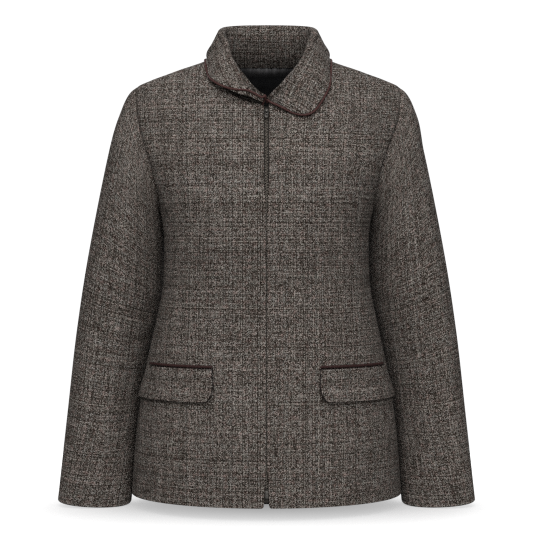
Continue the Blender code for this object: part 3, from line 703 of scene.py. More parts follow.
def sleeve_panel():
    """The wearer's left sleeve, rings from their inner line round the back, and its seam's directions."""
    turn = np.concatenate([ARM_TURNS, ARM_TURNS[-2:0:-1]])
    behind = np.arange(2 * ARM_STEPS) > ARM_STEPS
    angle = np.where(behind, arm_angle(turn, True), arm_angle(turn))
    out = torso_normal(angle, arm_height(turn))
    armhole = torso(angle, arm_height(turn)) - out * (arm_sink(turn, behind) - arm_swell(turn))[:, None]
    marks = edge_marks(LAST_RING * SLEEVE_STEPS + 1) / SLEEVE_STEPS
    at = np.concatenate([[0], np.maximum(marks, 0) + SLEEVE_START * (1 - marks / LAST_RING)])
    sizes = np.moveaxis(sleeve_sizes(at), -1, 0)[:, :, None]
    outer_x, outer_z, inner_x, inner_z, mid_y, half_depth, pitch, tuck = sizes
    at = at[:, None]
    blend = clamp(at / SLEEVE_BLEND)
    cuff = clamp((at - CUFF_START) / (LAST_RING - CUFF_START)) ** 2
    full = SLEEVE_FULLNESS + (CUFF_FULLNESS - SLEEVE_FULLNESS) * cuff
    spread = (1 - blend) * arm_egg(turn) + blend * np.maximum(np.sin(turn), 0) ** full
    cosine, low = np.cos(turn), arm_low(turn)
    forward = np.where(behind, 1.0, -1.0) * half_depth * spread
    x = (outer_x + inner_x) / 2 + (outer_x - inner_x) / 2 * cosine
    z = (outer_z + inner_z) / 2 + (outer_z - inner_z) / 2 * cosine + pitch * forward
    z = z - CUFF_DROP * cuff * (1 - spread)
    hollow = SLEEVE_HOLLOW * clamp((at - HOLLOW_START) / HOLLOW_LENGTH) * (1 - cuff)
    y = mid_y + forward + tuck * low + hollow * low ** HOLLOW_POWER
    points = np.stack([x, y, z], -1)
    points += (armhole - points[0]) * ((1 - blend) ** ARM_TURN)[..., None]
    normals = ring_normals(points)
    mitre = unit(out + normals[0])
    points, normals = points[1:], normals[1:]
    normals = towards(normals, mitre, edge_distances(points)[0])
    points, normals = (np.roll(array, -ARM_STEPS, axis=1) for array in (points, normals))
    down, _, round_from, round_to = edge_distances(closed(points))
    down = np.broadcast_to(down.mean(1, keepdims=True), down.shape)
    return Panel(points, normals, np.stack([(round_from - round_to) / 2, -down], -1)), mitre


def ring_normals(points):
    """Directions out of a tube of rings."""
    along = np.gradient(points, axis=0)
    around = np.roll(points, -1, axis=1) - np.roll(points, 1, axis=1)
    normals = unit(np.cross(around, along))
    outward = points - points.mean(axis=1, keepdims=True)
    return normals * np.sign(np.sum(normals * outward))


def sheet_normals(points):
    """Directions out of an open grid, columns crossed with rows."""
    return unit(np.cross(np.gradient(points, axis=1), np.gradient(points, axis=0)))


def mirrored(panel, ring=False):
    """The same panel on the wearer's other side; a ring still starts at its inner line."""
    points, normals = (np.roll(array[:, ::-1], int(ring), axis=1) * (-1, 1, 1) for array in panel[:2])
    return Panel(points, normals, panel.grain[:, ::-1] * (-1, 1))


def sunk(panel, depth):
    """A panel moved in by a depth at each point."""
    return panel._replace(points=panel.points - panel.normals * depth[..., None])


# Creases and puckers

def crease_depth(grain, crease):
    """How far a crease sinks the cloth at places on it."""
    u0, v0, u1, v1, width, depth, bow = np.array(crease) * MM
    run = np.array([u1 - u0, v1 - v0])
    length = np.linalg.norm(run)
    spot = grain - (u0, v0)
    along = clamp(spot @ run / length ** 2)
    aside = spot @ np.array([-run[1], run[0]]) / length
    arc = np.sin(math.pi * along)
    level, swing, run_wave, start_wave = CREASE_WAVE
    fade = arc ** CREASE_POWER * (level + swing * np.sin(run_wave * along + start_wave * u0))
    x = (aside - bow * arc) / (width * (CREASE_NARROW + CREASE_WIDEN * along))
    return depth * fade * (hump(x, 0, 1) - CREASE_FLANK * hump(np.abs(x), *FLANK_AT))


def creased(panel, name):
    """A panel with its creases, which on the wearer's right are given on the mirrored cloth."""
    grain = panel.grain[:, :panel.points.shape[1]] * (-1 if name.endswith("right") else 1, 1)
    return sunk(panel, sum(crease_depth(grain, crease) for crease in CREASES[name]))


def puckered(panel, distance, along):
    """A panel drawn in along a seam, in short uneven waves."""
    wave = PUCKER_LEVEL + PUCKER_SWING * np.sin(uneven(along, *PUCKER_WAVE))
    return sunk(panel, PUCKER_DEPTH * wave * np.exp(-distance / PUCKER_REACH))


def eased(points):
    """Points with the wearer's left shoulder and collar let out."""
    up = soft((points[..., 2] - EASE_LOW_Z) / (EASE_HIGH_Z - EASE_LOW_Z))
    moved = np.array(points)
    moved[..., 0] += EASE * up * soft(points[..., 0] / EASE_X)
    return moved


# Objects

def place(name, mesh, *materials):
    """An object of a mesh, with its materials."""
    item = bpy.data.objects.new(name, mesh)
    for material in materials:
        mesh.materials.append(material)
    bpy.context.scene.collection.objects.link(item)
    return item


def make_mesh(name, vertices, faces, grain=None, inner=None):
    """A smooth mesh with its places on the flat cloth, and another material for its inner faces."""
    mesh = bpy.data.meshes.new(name)
    mesh.from_pydata(np.asarray(vertices).tolist(), [], faces)
    mesh.polygons.foreach_set("use_smooth", np.ones(len(mesh.polygons), bool))
    if grain is not None:
        layer = mesh.uv_layers.new(name="grain")
        layer.uv.foreach_set("vector", np.asarray(grain, np.float32).ravel())
    if inner is not None:
        mesh.polygons.foreach_set("material_index", np.asarray(inner, np.int32))
    mesh.update()
    return mesh


def shell(name, panel, thickness, radii, materials, ring=False, rim=None):
    """A thin closed shell of cloth on a panel, its edges rounded over; its rim has the inner material."""
    points, normals, grain = panel
    rows, columns = points.shape[:2]
    full = np.ones((rows, columns))
    for distance, radius in zip(edge_distances(points)[:2 if ring else 4], radii):
        full *= rounded(distance, radius)
    offset = normals * (thickness / 2 * full)[..., None]
    outer = np.arange(rows * columns).reshape(rows, columns)
    inside = np.ones((rows, columns), bool)
    inside[[0, -1]] = False
    if not ring:
        inside[:, [0, -1]] = False
    inner = outer.copy()
    inner[inside] = rows * columns + np.arange(inside.sum())
    vertices = eased(np.concatenate([(points + offset).reshape(-1, 3), (points - offset)[inside]]))
    if ring:
        outer, inner = closed(outer), closed(inner)
    faces, places = quads(outer), quads(grain)
    cell = faces[len(faces) // 2]
    first, second, third = vertices[cell[:3]]
    facing = np.cross(second - first, third - first) @ normals.reshape(-1, 3)[cell[0]]
    way = 1 if facing > 0 else -1
    flat = np.concatenate([places[:, ::way], places[:, ::-way]])
    front = np.zeros(len(faces), bool) if rim is None else rim.ravel()[faces].mean(1) > 0.5
    layer = np.concatenate([front, np.ones(len(faces), bool)]) * (len(materials) - 1)
    faces = np.concatenate([faces[:, ::way], quads(inner)[:, ::-way]])
    return place(name, make_mesh(name, vertices, faces.tolist(), flat, layer), *materials)


def tube(name, path, radius, material):
    """A round cord along a path, with rounded ends."""
    tangent = unit(np.gradient(path, axis=0))
    side = np.zeros_like(path)
    side[0] = unit(np.cross(tangent[0], TUBE_SIDE))
    for i in range(1, len(path)):
        side[i] = unit(side[i - 1] - tangent[i] * (side[i - 1] @ tangent[i]))
    other = np.cross(tangent, side)
    cap = np.radians(TUBE_CAP)
    past = np.concatenate([-np.sin(cap), np.zeros(len(path)), np.sin(cap[::-1])]) * radius
    size = np.concatenate([np.cos(cap), np.ones(len(path)), np.cos(cap[::-1])])
    size = np.maximum(size, TUBE_TIP) * radius
    at = np.clip(np.arange(len(past)) - len(cap), 0, len(path) - 1)
    centres = path[at] + tangent[at] * past[:, None]
    angle = np.linspace(0, 2 * math.pi, TUBE_SIDES, endpoint=False)[:, None]
    ring = side[at][:, None] * np.cos(angle) + other[at][:, None] * np.sin(angle)
    points = eased((centres[:, None] + ring * size[:, None, None]).reshape(-1, 3))
    index = closed(np.arange(len(points)).reshape(-1, TUBE_SIDES))
    around = np.linspace(0, 2 * math.pi * radius, TUBE_SIDES + 1)
    grain = np.stack(np.broadcast_arrays(lengths(centres)[:, None], around), -1)
    faces = quads(index)[:, ::-1].tolist() + [index[0, :-1].tolist(), index[-1, -2::-1].tolist()]
    flat = np.concatenate([quads(grain)[:, ::-1].reshape(-1, 2), np.zeros((2 * TUBE_SIDES, 2))])
    mesh = make_mesh(name, points, faces, flat)
    bm = bmesh.new()
    bm.from_mesh(mesh)
    bmesh.ops.recalc_face_normals(bm, faces=bm.faces)
    bm.to_mesh(mesh)
    bm.free()
    return place(name, mesh, material)


def bevelled_block(size, bevel):
    """Corners and faces of a block about its own centre, with bevelled edges."""
    bm = bmesh.new()
    bmesh.ops.create_cube(bm, size=1.0)
    bmesh.ops.scale(bm, vec=size, verts=bm.verts)
    bmesh.ops.bevel(bm, geom=bm.edges[:], offset=bevel, segments=1, profile=0.5, affect="EDGES")
    bm.verts.index_update()
    vertices = np.array([vertex.co for vertex in bm.verts])
    faces = [[vertex.index for vertex in face.verts] for face in bm.faces]
    bm.free()
    return vertices, faces


# The collar

def neck_line(angle):
    """Points of the neckline by degrees from centre front, the directions into the neck and out."""
    turn = np.radians(angle)
    z = np.minimum(neck_height(turn), NECK_TOP_Z - 1e-6)
    around = np.where(turn < math.pi / 2, angle_at_x(neck_x(turn), z), turn)
    points = torso(around, z)
    along = unit(np.gradient(points, axis=0))
    out = torso_normal(around, z)
    return points, unit(np.cross(out, along)), out


def collar_steps():
    """Places across the collar, from the neck over the roll to the free edge."""
    near = np.array(EDGE_STEPS[1:])
    stand = np.concatenate([[0], near / STAND_HEIGHT, np.linspace(0, 1, STAND_STEPS + 1)[2:]])
    roll = np.linspace(1, FALL_MARK, ROLL_STEPS + 2)[1:-1]
    roll[np.argmin(np.abs(roll - ROLL_MARK))] = ROLL_MARK
    fall = np.linspace(FALL_MARK, EDGE_MARK, FALL_STEPS + 1)[:-1]
    return np.concatenate([stand, roll, fall, EDGE_MARK - near[::-1] / FALL_HEIGHT, [EDGE_MARK]])


def collar_stations():
    """Places round half the collar, closer together at the front."""
    return np.linspace(0, 1, COLLAR_STATIONS) ** STATION_POWER


def turned_share(at):
    """How far the lifted leaf's under side turns down below its piping."""
    return hump(at, TURN_AT, TURN_WIDTH)


def collar_half(leaf, lifted):
    """Sections of the collar's left half from centre front to back, each from neck to free edge."""
    at = collar_stations()
    neck_angle, roll = np.split(smooth(COLLAR_ROLL)(at), [1], axis=1)
    free = smooth(leaf)(at)
    base, inward, outward = neck_line(neck_angle[:, 0])
    base = base + inward * (COLLAR_SEAM + COLLAR_CLOTH / 2)
    depth = (CLOTH + COLLAR_CLOTH) / 2
    front = clamp((TUCK_FRONT[0] - neck_angle) / TUCK_FRONT[1])
    back = clamp((neck_angle - TUCK_BACK[0]) / TUCK_BACK[1])
    base -= front * (inward * COLLAR_TUCK + outward * (depth + COLLAR_SEAM))
    base -= back * (inward * STAND_TUCK + outward * (depth + LINING + 3 * SEAM))
    tangent = unit(np.gradient(roll, axis=0))
    out = free - base
    out = unit(out - np.sum(out * tangent, -1, keepdims=True) * tangent)
    rise = np.cross(tangent, out)
    rise *= np.sign(np.sum(rise * (roll - (base + free) / 2), -1, keepdims=True))
    swell = unit(out * (1, 1, 0)) * LEAF_SWELL * hump(at, LEAF_SWELL_AT, LEAF_SWELL_WIDTH)[:, None]
    before = roll - out * ROLL_RADIUS - rise * ROLL_RADIUS + swell * SWELL_SHARES[0]
    after = roll + out * ROLL_RADIUS - rise * ROLL_RADIUS + swell * SWELL_SHARES[1]
    bulge = unit(out + rise) * LEAF_BULGE
    upper = after + (free - after) / 3 + bulge * BULGE_SHARES[0]
    lower = after + (free - after) * 2 / 3 + bulge * BULGE_SHARES[1] + swell * SWELL_SHARES[2]
    turned = turned_share(at)[:, None] * lifted
    edge = free + (lower - free) * EDGE_SHARE * (1 - turned)
    tip = free + turned * TURN_DROP
    lines = np.stack([base, before, roll, after, upper, lower, edge, tip])
    section = smooth(np.column_stack([SECTION_MARKS, lines.reshape(len(lines), -1)]))
    return section(collar_steps()).reshape(-1, COLLAR_STATIONS, 3)


def lift_clear(points, trees, clearance):
    """Moves points out, softly, until they stand clear of the cloth beneath."""
    lift = np.zeros(points.shape[:2])
    away = np.zeros_like(points)
    for index in np.ndindex(points.shape[:2]):
        for tree in trees:
            spot, normal, _, _ = tree.find_nearest(Vector(points[index]))
            offset = Vector(points[index]) - spot
            depth = offset.dot(normal)
            aside = (offset - normal * depth).length
            if depth < clearance and aside < CLOTH and clearance - depth > lift[index]:
                lift[index] = clearance - depth
                away[index] = normal
    spread = lift.copy()
    for _ in range(LIFT_ROUNDS):
        wide = np.pad(spread, 1, mode="edge")
        around = wide[:-2, 1:-1] + wide[2:, 1:-1] + wide[1:-1, :-2] + wide[1:-1, 2:]
        spread = np.maximum(lift, around / 4)
    points += away * spread[..., None]


def outer_tree(panel):
    """A search tree of the outside of a panel."""
    spots = [Vector(point) for point in (panel.points + panel.normals * CLOTH / 2).reshape(-1, 3)]
    index = np.arange(len(spots)).reshape(panel.points.shape[:2])
    return BVHTree.FromPolygons(spots, quads(index).tolist())


def collar_panel(trees):
    """The whole collar, from the wearer's right front round the back to the left front."""
    left = collar_half(LEAF_LEFT, False)
    right = collar_half(LEAF_RIGHT, True) * (-1, 1, 1)
    points = np.concatenate([right, left[:, -2::-1]], axis=1)
    falling = collar_steps() > CLEAR_MARK
    fall = points[falling]
    lift_clear(fall, trees, COLLAR_CLOTH / 2 + LEAF_CLEARANCE)
    points[falling] = fall
    up, _, around, _ = edge_distances(points)
    middle = around[len(points) // 2]
    across = np.broadcast_to(middle - middle.mean(), up.shape)
    return Panel(points, sheet_normals(points), np.stack([across, up], -1))


def piping_path(panel):
    """A line just outside the collar's free edge, from one front end of the roll to the other."""
    first, row = (int(np.argmin(np.abs(collar_steps() - mark))) for mark in (PIPING_START, TURN_MARK))

    def round_edge(grid, inset):
        low, high, last = inset, grid.shape[1] - 1 - inset, len(grid) - 1 - inset
        return np.concatenate([grid[first:row, low], grid[last, :], grid[-2:first - 1:-1, high]])

    edge = round_edge(panel.points, 0)
    tangent = unit(np.gradient(edge, axis=0))
    aside = unit(np.cross(tangent, round_edge(panel.normals, 0)))
    aside *= np.sign(np.sum(aside * (edge - round_edge(panel.points, PIPING_INSET)), -1, keepdims=True))
    path = edge + aside * PIPING_RADIUS
    normals = panel.normals[row] * np.sign(panel.normals[row] @ PIPING_FACE)[:, None]
    face = panel.points[row] + normals * (COLLAR_CLOTH / 2 + PIPING_RADIUS / 2)
    share = np.zeros((len(face), 1))
    share[:COLLAR_STATIONS, 0] = turned_share(collar_stations())
    along = slice(row - first, row - first + len(face))
    path[along] = path[along] * (1 - share) + face * share
    return even_path(path)


def even_path(path):
    """A path read again at even steps and smoothed a little."""
    length = lengths(path)
    at = np.linspace(0, length[-1], int(length[-1] / PIPING_STEP))
    even = np.stack([np.interp(at, length, path[:, k]) for k in range(3)], 1)
    for _ in range(PATH_ROUNDS):
        even[1:-1] = even[1:-1] / 2 + (even[:-2] + even[2:]) / 4
    return even


# Pockets

def corner(near, width, height):
    """How far a flap's lower edge rises at a distance from its side."""
    return height * (1 - rounded(near, width))


def flap_panel():
    """The wearer's left flap, from its lower edge up and from the zip outwards."""
    share = (1 - np.cos(np.linspace(0, math.pi, FLAP_COLUMNS + 1))) / 2
    rows = 1 - edge_marks(FLAP_ROWS + 1, FLAP_STEP)[:, None] / FLAP_ROWS
    inner = FLAP_TOP_INNER + (FLAP_BOTTOM_INNER - FLAP_TOP_INNER) * rows
    outer = FLAP_TOP_OUTER + (FLAP_BOTTOM_OUTER - FLAP_TOP_OUTER) * rows
    angle = np.radians(inner + (outer - inner) * share)
    length = lengths(torso(angle[0], FLAP_BOTTOM_Z))
    rounding = corner(length, *FLAP_ROUND) + corner(length[-1] - length, *FLAP_CORNER)
    z = FLAP_TOP_Z + (FLAP_BOTTOM_Z + rounding - FLAP_TOP_Z) * rows
    normals = torso_normal(angle, z)
    curl = FLAP_CURL * hump(length, 0, FLAP_ROUND[0]) * clamp(rows * CURL_RISE)
    lift = FLAP_LIFT * rows ** 2 * (1 - LIFT_FADE * share)
    out = (CLOTH + FLAP_CLOTH) / 2 + FLAP_CLEARANCE + lift + curl
    grain = torso_grain(angle, z, 0.0) + FLAP_GRAIN
    return Panel(torso(angle, z) + normals * out[..., None], normals, grain)


def flap_rim(points):
    """Which points of a flap lie on its dark edge, widest towards the zip: partly its wine lining, partly
    painted shade for the gap under the flap.
    """
    border = np.concatenate([points[0], points[-1], points[:, 0], points[:, -1]])
    near = np.linalg.norm(points[:, :, None] - border, axis=-1).min(-1)
    from_zip = np.abs(points[..., 0])
    thin, wide = FLAP_RIM
    return near < thin + (wide - thin) * hump(from_zip, from_zip.min(), FLAP_RIM_REACH)


def pocket_piping_path():
    """A line along the mouth of the wearer's left pocket."""
    angle = np.radians(np.linspace(PIPING_INNER, PIPING_OUTER, FLAP_COLUMNS + 1))
    z = FLAP_TOP_Z + POCKET_PIPING_RADIUS + SEAM
    out = CLOTH / 2 + FLAP_CLEARANCE + POCKET_PIPING_RADIUS
    return even_path(torso(angle, z) + torso_normal(angle, z) * out)


# Zip

def tape_panel(sink):
    """The zip's tape, sunk behind the middle of the fronts' cloth."""
    z = np.linspace(HEM_Z + TAPE_HEM, NECK_FRONT_Z, TAPE_ROWS)[:, None]
    x = np.linspace(-TAPE_HALF_WIDTH, TAPE_HALF_WIDTH, TAPE_COLUMNS)
    angle = np.sign(x) * angle_at_x(np.abs(x), z)
    normals = torso_normal(angle, z)
    return Panel(torso(angle, z) - normals * sink, normals, torso_grain(angle, z, 0.0))


def zip_frame(z):
    """A place on the zip's line: across, up along the cloth, and out of it."""
    out = torso_normal(0.0, z)
    across = np.array([1.0, 0.0, 0.0])
    return torso(0.0, z), np.stack([across, np.cross(out, across), out], 1)


def teeth(sink, material):
    """The two rows of the zip's teeth, set between each other."""
    vertices, faces = bevelled_block(TOOTH_SIZE, TOOTH_BEVEL)
    heights = np.arange(CHAIN_BOTTOM_Z + TOOTH_PITCH, CHAIN_TOP_Z, TOOTH_PITCH / 2)
    spots, cells = [], []
    for number, z in enumerate(heights):
        spot, axes = zip_frame(z)
        side = 1 if number % 2 else -1
        local = vertices + (side * TOOTH_OFFSET, 0, -sink)
        spots.append(spot + local @ axes.T)
        cells += [[corner + number * len(vertices) for corner in face] for face in faces]
    return place("zip_teeth", make_mesh("zip_teeth", np.concatenate(spots), cells), material)


def plate(loops, start, depth, bevel):
    """A plate of an outline, and of a hole in it, from a height up by its depth, its rims bevelled."""
    bm = bmesh.new()
    edges = []
    for loop in loops:
        corners = [bm.verts.new((x, y, 0)) for x, y in loop]
        edges += [bm.edges.new(pair) for pair in zip(corners, corners[1:] + corners[:1])]
    bmesh.ops.triangle_fill(bm, edges=edges, use_beauty=True)
    raised = bmesh.ops.extrude_face_region(bm, geom=bm.faces[:])
    top = [item for item in raised["geom"] if isinstance(item, bmesh.types.BMVert)]
    bmesh.ops.translate(bm, vec=(0, 0, depth), verts=top)
    bmesh.ops.recalc_face_normals(bm, faces=bm.faces)
    rims = [edge for edge in bm.edges if edge.calc_face_angle(0) > RIM_ANGLE]
    bmesh.ops.bevel(bm, geom=rims, offset=bevel, segments=2, profile=0.5, affect="EDGES")
    bmesh.ops.translate(bm, vec=(0, 0, start), verts=bm.verts)
    return bm


def oval(width, height, centre_y, square, taper=1.0):
    """A rounded outline, narrower towards its lower end."""
    angle = np.linspace(0, 2 * math.pi, OVAL_POINTS, endpoint=False)
    x = width / 2 * np.sign(np.cos(angle)) * np.abs(np.cos(angle)) ** (2 / square)
    y = height / 2 * np.sign(np.sin(angle)) * np.abs(np.sin(angle)) ** (2 / square)
    x *= 1 + (taper - 1) * (0.5 - y / height)
    return np.stack([x, y + centre_y], 1)


def finish_metal(bm, name, z, material):
    """An object of a metal piece, in its place on the zip."""
    spot, axes = zip_frame(z)
    matrix = Matrix.Translation(Vector(spot)) @ Matrix(axes.tolist()).to_4x4()
    bmesh.ops.transform(bm, matrix=matrix, verts=bm.verts)
    mesh = bpy.data.meshes.new(name)
    bm.to_mesh(mesh)
    bm.free()
    mesh.polygons.foreach_set("use_smooth", np.ones(len(mesh.polygons), bool))
    mesh.set_sharp_from_angle(angle=math.radians(METAL_CREASE))
    return place(name, mesh, material)


def make_slider(material):
    """The slider with its arched bridge."""
    width, height, depth = SLIDER_SIZE
    outline = oval(width, height, 0, SLIDER_SQUARE, SLIDER_TAPER)
    bm = plate([outline], SLIDER_BACK, depth, SLIDER_BEVEL)
    bridge_width, span, rise = BRIDGE_SIZE
    bar = (rise - BRIDGE_WINDOW[1]) / 2
    turn = np.linspace(0, math.pi, BRIDGE_STEPS)
    high = SLIDER_BACK + depth - BRIDGE_SINK + rise * np.sin(turn) ** ARCH_POWER
    arch = np.stack([-span / 2 * np.cos(turn), high], 1)
    low = np.stack([-(span / 2 - bar) * np.cos(turn), high - bar * np.sin(turn) ** BAR_POWER], 1)
    rows = []
    for x, line in ((-1, low), (-1, arch), (1, arch), (1, low)):
        rows.append([bm.verts.new((x * bridge_width / 2, y, z)) for y, z in line])
    for first, second in zip(rows, rows[1:] + rows[:1]):
        for i in range(BRIDGE_STEPS - 1):
            bm.faces.new([first[i], first[i + 1], second[i + 1], second[i]])
    for end in (0, -1):
        bm.faces.new([row[end] for row in rows])
    bmesh.ops.recalc_face_normals(bm, faces=bm.faces)
    return finish_metal(bm, "slider_body", SLIDER_Z, material)


def make_pull(material):
    """The pull tab, an oval ring that hangs on the slider's bridge."""
    width, height, depth = PULL_SIZE
    axis_height = SLIDER_BACK + SLIDER_SIZE[2] + SEAM + BRIDGE_WINDOW[1] / 2
    outline = oval(width, height, (PULL_BAR - height) / 2, PULL_SQUARE)
    hole = oval(*PULL_WINDOW, -(PULL_BAR + PULL_WINDOW[1]) / 2, PULL_SQUARE)
    bm = plate([outline, hole], axis_height - depth / 2, depth, PULL_BEVEL)
    return finish_metal(bm, "pull_tab", SLIDER_Z, material)


def make_box(sink, material):
    """The block that closes the zip's lower end."""
    width, depth, height = BOX_SIZE
    bm = plate([oval(width, height, 0, BOX_SQUARE)], -sink - depth / 2, depth, BOX_BEVEL)
    return finish_metal(bm, "end_box", BOX_Z, material)


# Materials

class Nodes:
    """A tree of shader nodes, made and linked in short calls."""

    def __init__(self, tree):
        self.tree = tree

    def put(self, socket, value):
        if isinstance(value, bpy.types.NodeSocket):
            self.tree.links.new(value, socket)
        else:
            socket.default_value = value

    def make(self, kind, *values, **settings):
        node = self.tree.nodes.new("ShaderNode" + kind)
        for name, value in settings.items():
            setattr(node, name, value)
        for socket, value in zip(node.inputs, values):
            if value is not None:
                self.put(socket, value)
        return node

    def math(self, operation, *values):
        return self.make("Math", *values, operation=operation).outputs[0]

    def times(self, first, second):
        return self.math("MULTIPLY", first, second)

    def plus(self, first, second):
        return self.math("ADD", first, second)

    def vector(self, operation, *values):
        node = self.make("VectorMath", *values, operation=operation)
        return node.outputs["Value" if operation == "LENGTH" else "Vector"]

    def shift(self, spot, by):
        return self.vector("ADD", spot, by)

    def stretch(self, spot, by):
        return self.vector("MULTIPLY", spot, by)

    def parts(self, spot):
        return self.make("SeparateXYZ", spot).outputs

    def grain(self):
        return self.make("UVMap", uv_map="grain").outputs["UV"]

    def noise(self, spot, scale, detail=2.0):
        node = self.make("TexNoise", spot, None, scale, detail, 0.5)
        return node.outputs["Fac"], node.outputs["Color"]

    def random(self, spot):
        return self.make("TexWhiteNoise", spot, noise_dimensions="3D").outputs["Value"]

    def ramp(self, value, *stops):
        node = self.make("ValToRGB", value)
        points = node.color_ramp.elements
        while len(points) < len(stops):
            points.new(0.5)
        for point, (position, colour) in zip(points, stops):
            point.position = position
            point.color = (*colour, 1.0)
        return node.outputs["Color"]

    def range(self, value, low, high, start=0.0, end=1.0, way="LINEAR"):
        values = (value, low, high, start, end)
        return self.make("MapRange", *values, clamp=True, interpolation_type=way).outputs[0]

    def mix(self, share, first, second, blend="MIX"):
        colours = (None,) * 5 + (first, second)
        return self.make("Mix", share, *colours, data_type="RGBA", blend_type=blend).outputs[2]

    def tinted(self, colour, tint):
        return self.mix(1.0, colour, tint, "MULTIPLY")


class Material(Nodes):
    """A material's nodes round its shader."""

    def __init__(self, name, roughness, specular, metallic=0.0):
        self.material = bpy.data.materials.new(name)
        self.material.use_nodes = True
        super().__init__(self.material.node_tree)
        self.shader = self.tree.nodes["Principled BSDF"]
        self.set(Roughness=roughness, Specular_IOR_Level=specular, Metallic=metallic)

    def set(self, **values):
        for name, value in values.items():
            self.put(self.shader.inputs[name.replace("_", " ")], value)

    def bump(self, height, distance, strength):
        node = self.make("Bump")
        for name, value in (("Strength", strength), ("Distance", distance), ("Height", height)):
            self.put(node.inputs[name], value)
        self.set(Normal=node.outputs["Normal"])


def tweed_material(name, painted_neck_shade=False):
    """Plain weave of flecked grey, beige, brown and black wool, with paler and darker yarns both ways."""
    n = Material(name, 0.95, 0.04)
    flat = n.grain()
    drift = n.vector("SUBTRACT", n.noise(flat, 28.0, 1.0)[1], (0.5, 0.5, 0.5))
    shake = n.vector("SUBTRACT", n.noise(flat, 700.0, 1.0)[1], (0.5, 0.5, 0.5))
    bent = n.shift(flat, n.stretch(drift, (0.0012, 0.0012, 0.0)))
    bent = n.shift(bent, n.stretch(shake, (0.0004, 0.0004, 0.0)))
    cells = n.stretch(bent, (1 / YARN, 1 / YARN, 0.0))
    number = n.vector("FLOOR", cells)
    weft_over = n.math("PINGPONG", n.plus(*n.parts(number)[:2]), 1.0)

    def yarns(pick_one, along, seed):
        """Luck of each yarn, and how light it is along its length: slubs, pale yarns and dark yarns."""
        one = n.stretch(number, pick_one)
        luck = n.random(n.shift(one, (0.0, 0.0, seed)))
        spot = n.shift(n.stretch(one, (7.3, 7.3, 0.0)), n.stretch(flat, along))
        slub = n.noise(n.shift(spot, (0.0, 0.0, seed)), 1.0, 1.0)[0]
        shown = n.range(slub, 0.40, 0.55)
        pale = n.times(n.times(n.range(luck, 0.86, 0.92), shown), PALE_YARN)
        dark = n.times(n.times(n.range(luck, 0.14, 0.08), shown), DARK_YARN)
        even = n.range(slub, 0.25, 0.75, 1 - SLUB_DEPTH, 1 + SLUB_DEPTH)
        two = n.vector("FLOOR", n.stretch(one, (0.5, 0.5, 0.0)))
        steps = [(step * pick_one[0], step * pick_one[1], seed + 40.0) for step in (0, -1, 1)]
        pair, before, after = (n.random(n.shift(two, step)) for step in steps)
        apart = n.math("SUBTRACT", pair, n.times(n.plus(before, after), 0.5))
        apart = n.times(apart, n.range(slub, 0.30, 0.70, 0.3 * PAIR_DEPTH, 1.7 * PAIR_DEPTH))
        return luck, n.math("SUBTRACT", n.plus(n.plus(even, apart), pale), dark)

    def pick(warp, weft):
        """The one of two values whose yarn lies on top."""
        return n.make("Mix", weft_over, None, warp, weft, data_type="FLOAT").outputs[0]

    warp_luck, warp_light = yarns((1.0, 0.0, 0.0), (0.0, SLUB, 0.0), 3.7)
    weft_luck, weft_light = yarns((0.0, 1.0, 0.0), (SLUB, 0.0, 0.0), 9.1)
    own_luck = n.random(n.shift(number, (0.0, 0.0, 17.3)))
    fleck = n.math("POWER", n.range(own_luck, 0.0, 1.0, *FLECK), 4.0)
    light = n.times(fleck, n.times(warp_light, weft_light))
    inside = n.parts(n.vector("SUBTRACT", n.vector("FRACTION", cells), (0.5, 0.5, 0.0)))
    crown = [n.math("COSINE", n.times(side, math.pi)) for side in inside[:2]]
    height = n.times(pick(*crown), n.plus(0.4, n.times(pick(*crown[::-1]), 0.6)))
    # Painted shade: the colour darkens where the yarns dip towards the edges of their cells
    light = n.times(light, n.range(height, 0.0, 0.7, 0.85, 1.05))
    colour = n.ramp(
        n.range(light, 0.0, 3.0),
        (0.00, (0.0106, 0.0082, 0.0064)),
        (0.08, (0.0345, 0.0282, 0.0232)),
        (0.33, (0.1060, 0.0941, 0.0835)),
        (1.00, (0.2960, 0.2780, 0.2610)),
    )
    yarn = n.ramp(
        pick(warp_luck, weft_luck),
        (0.00, (1.00, 0.97, 0.93)),
        (0.30, (1.05, 1.00, 0.97)),
        (0.55, (0.96, 1.00, 1.02)),
        (0.78, (1.12, 0.98, 0.96)),
        (1.00, (1.00, 1.00, 0.94)),
    )
    patch = n.ramp(
        n.noise(flat, 150.0, 2.0)[0],
        (0.30, (0.97, 1.01, 0.99)),
        (0.50, (1.00, 1.00, 1.00)),
        (0.58, (1.03, 0.99, 0.98)),
        (0.70, (1.10, 0.95, 0.94)),
    )
    tint = n.tinted(yarn, patch)
    # Painted shade: the collar's colour darkens towards the neck seam
    if painted_neck_shade:
        shade = n.range(n.parts(flat)[1], *PAINTED_NECK_SHADE)
        tint = n.tinted(tint, n.make("CombineXYZ", shade, shade, shade).outputs[0])
    n.set(Base_Color=n.tinted(colour, tint), Sheen_Weight=0.015, Sheen_Roughness=0.6)
    fibre = n.noise(flat, 2600.0)[0]
    n.bump(n.plus(n.times(height, 0.5), fibre), 0.00016, 0.5)
    return n.material


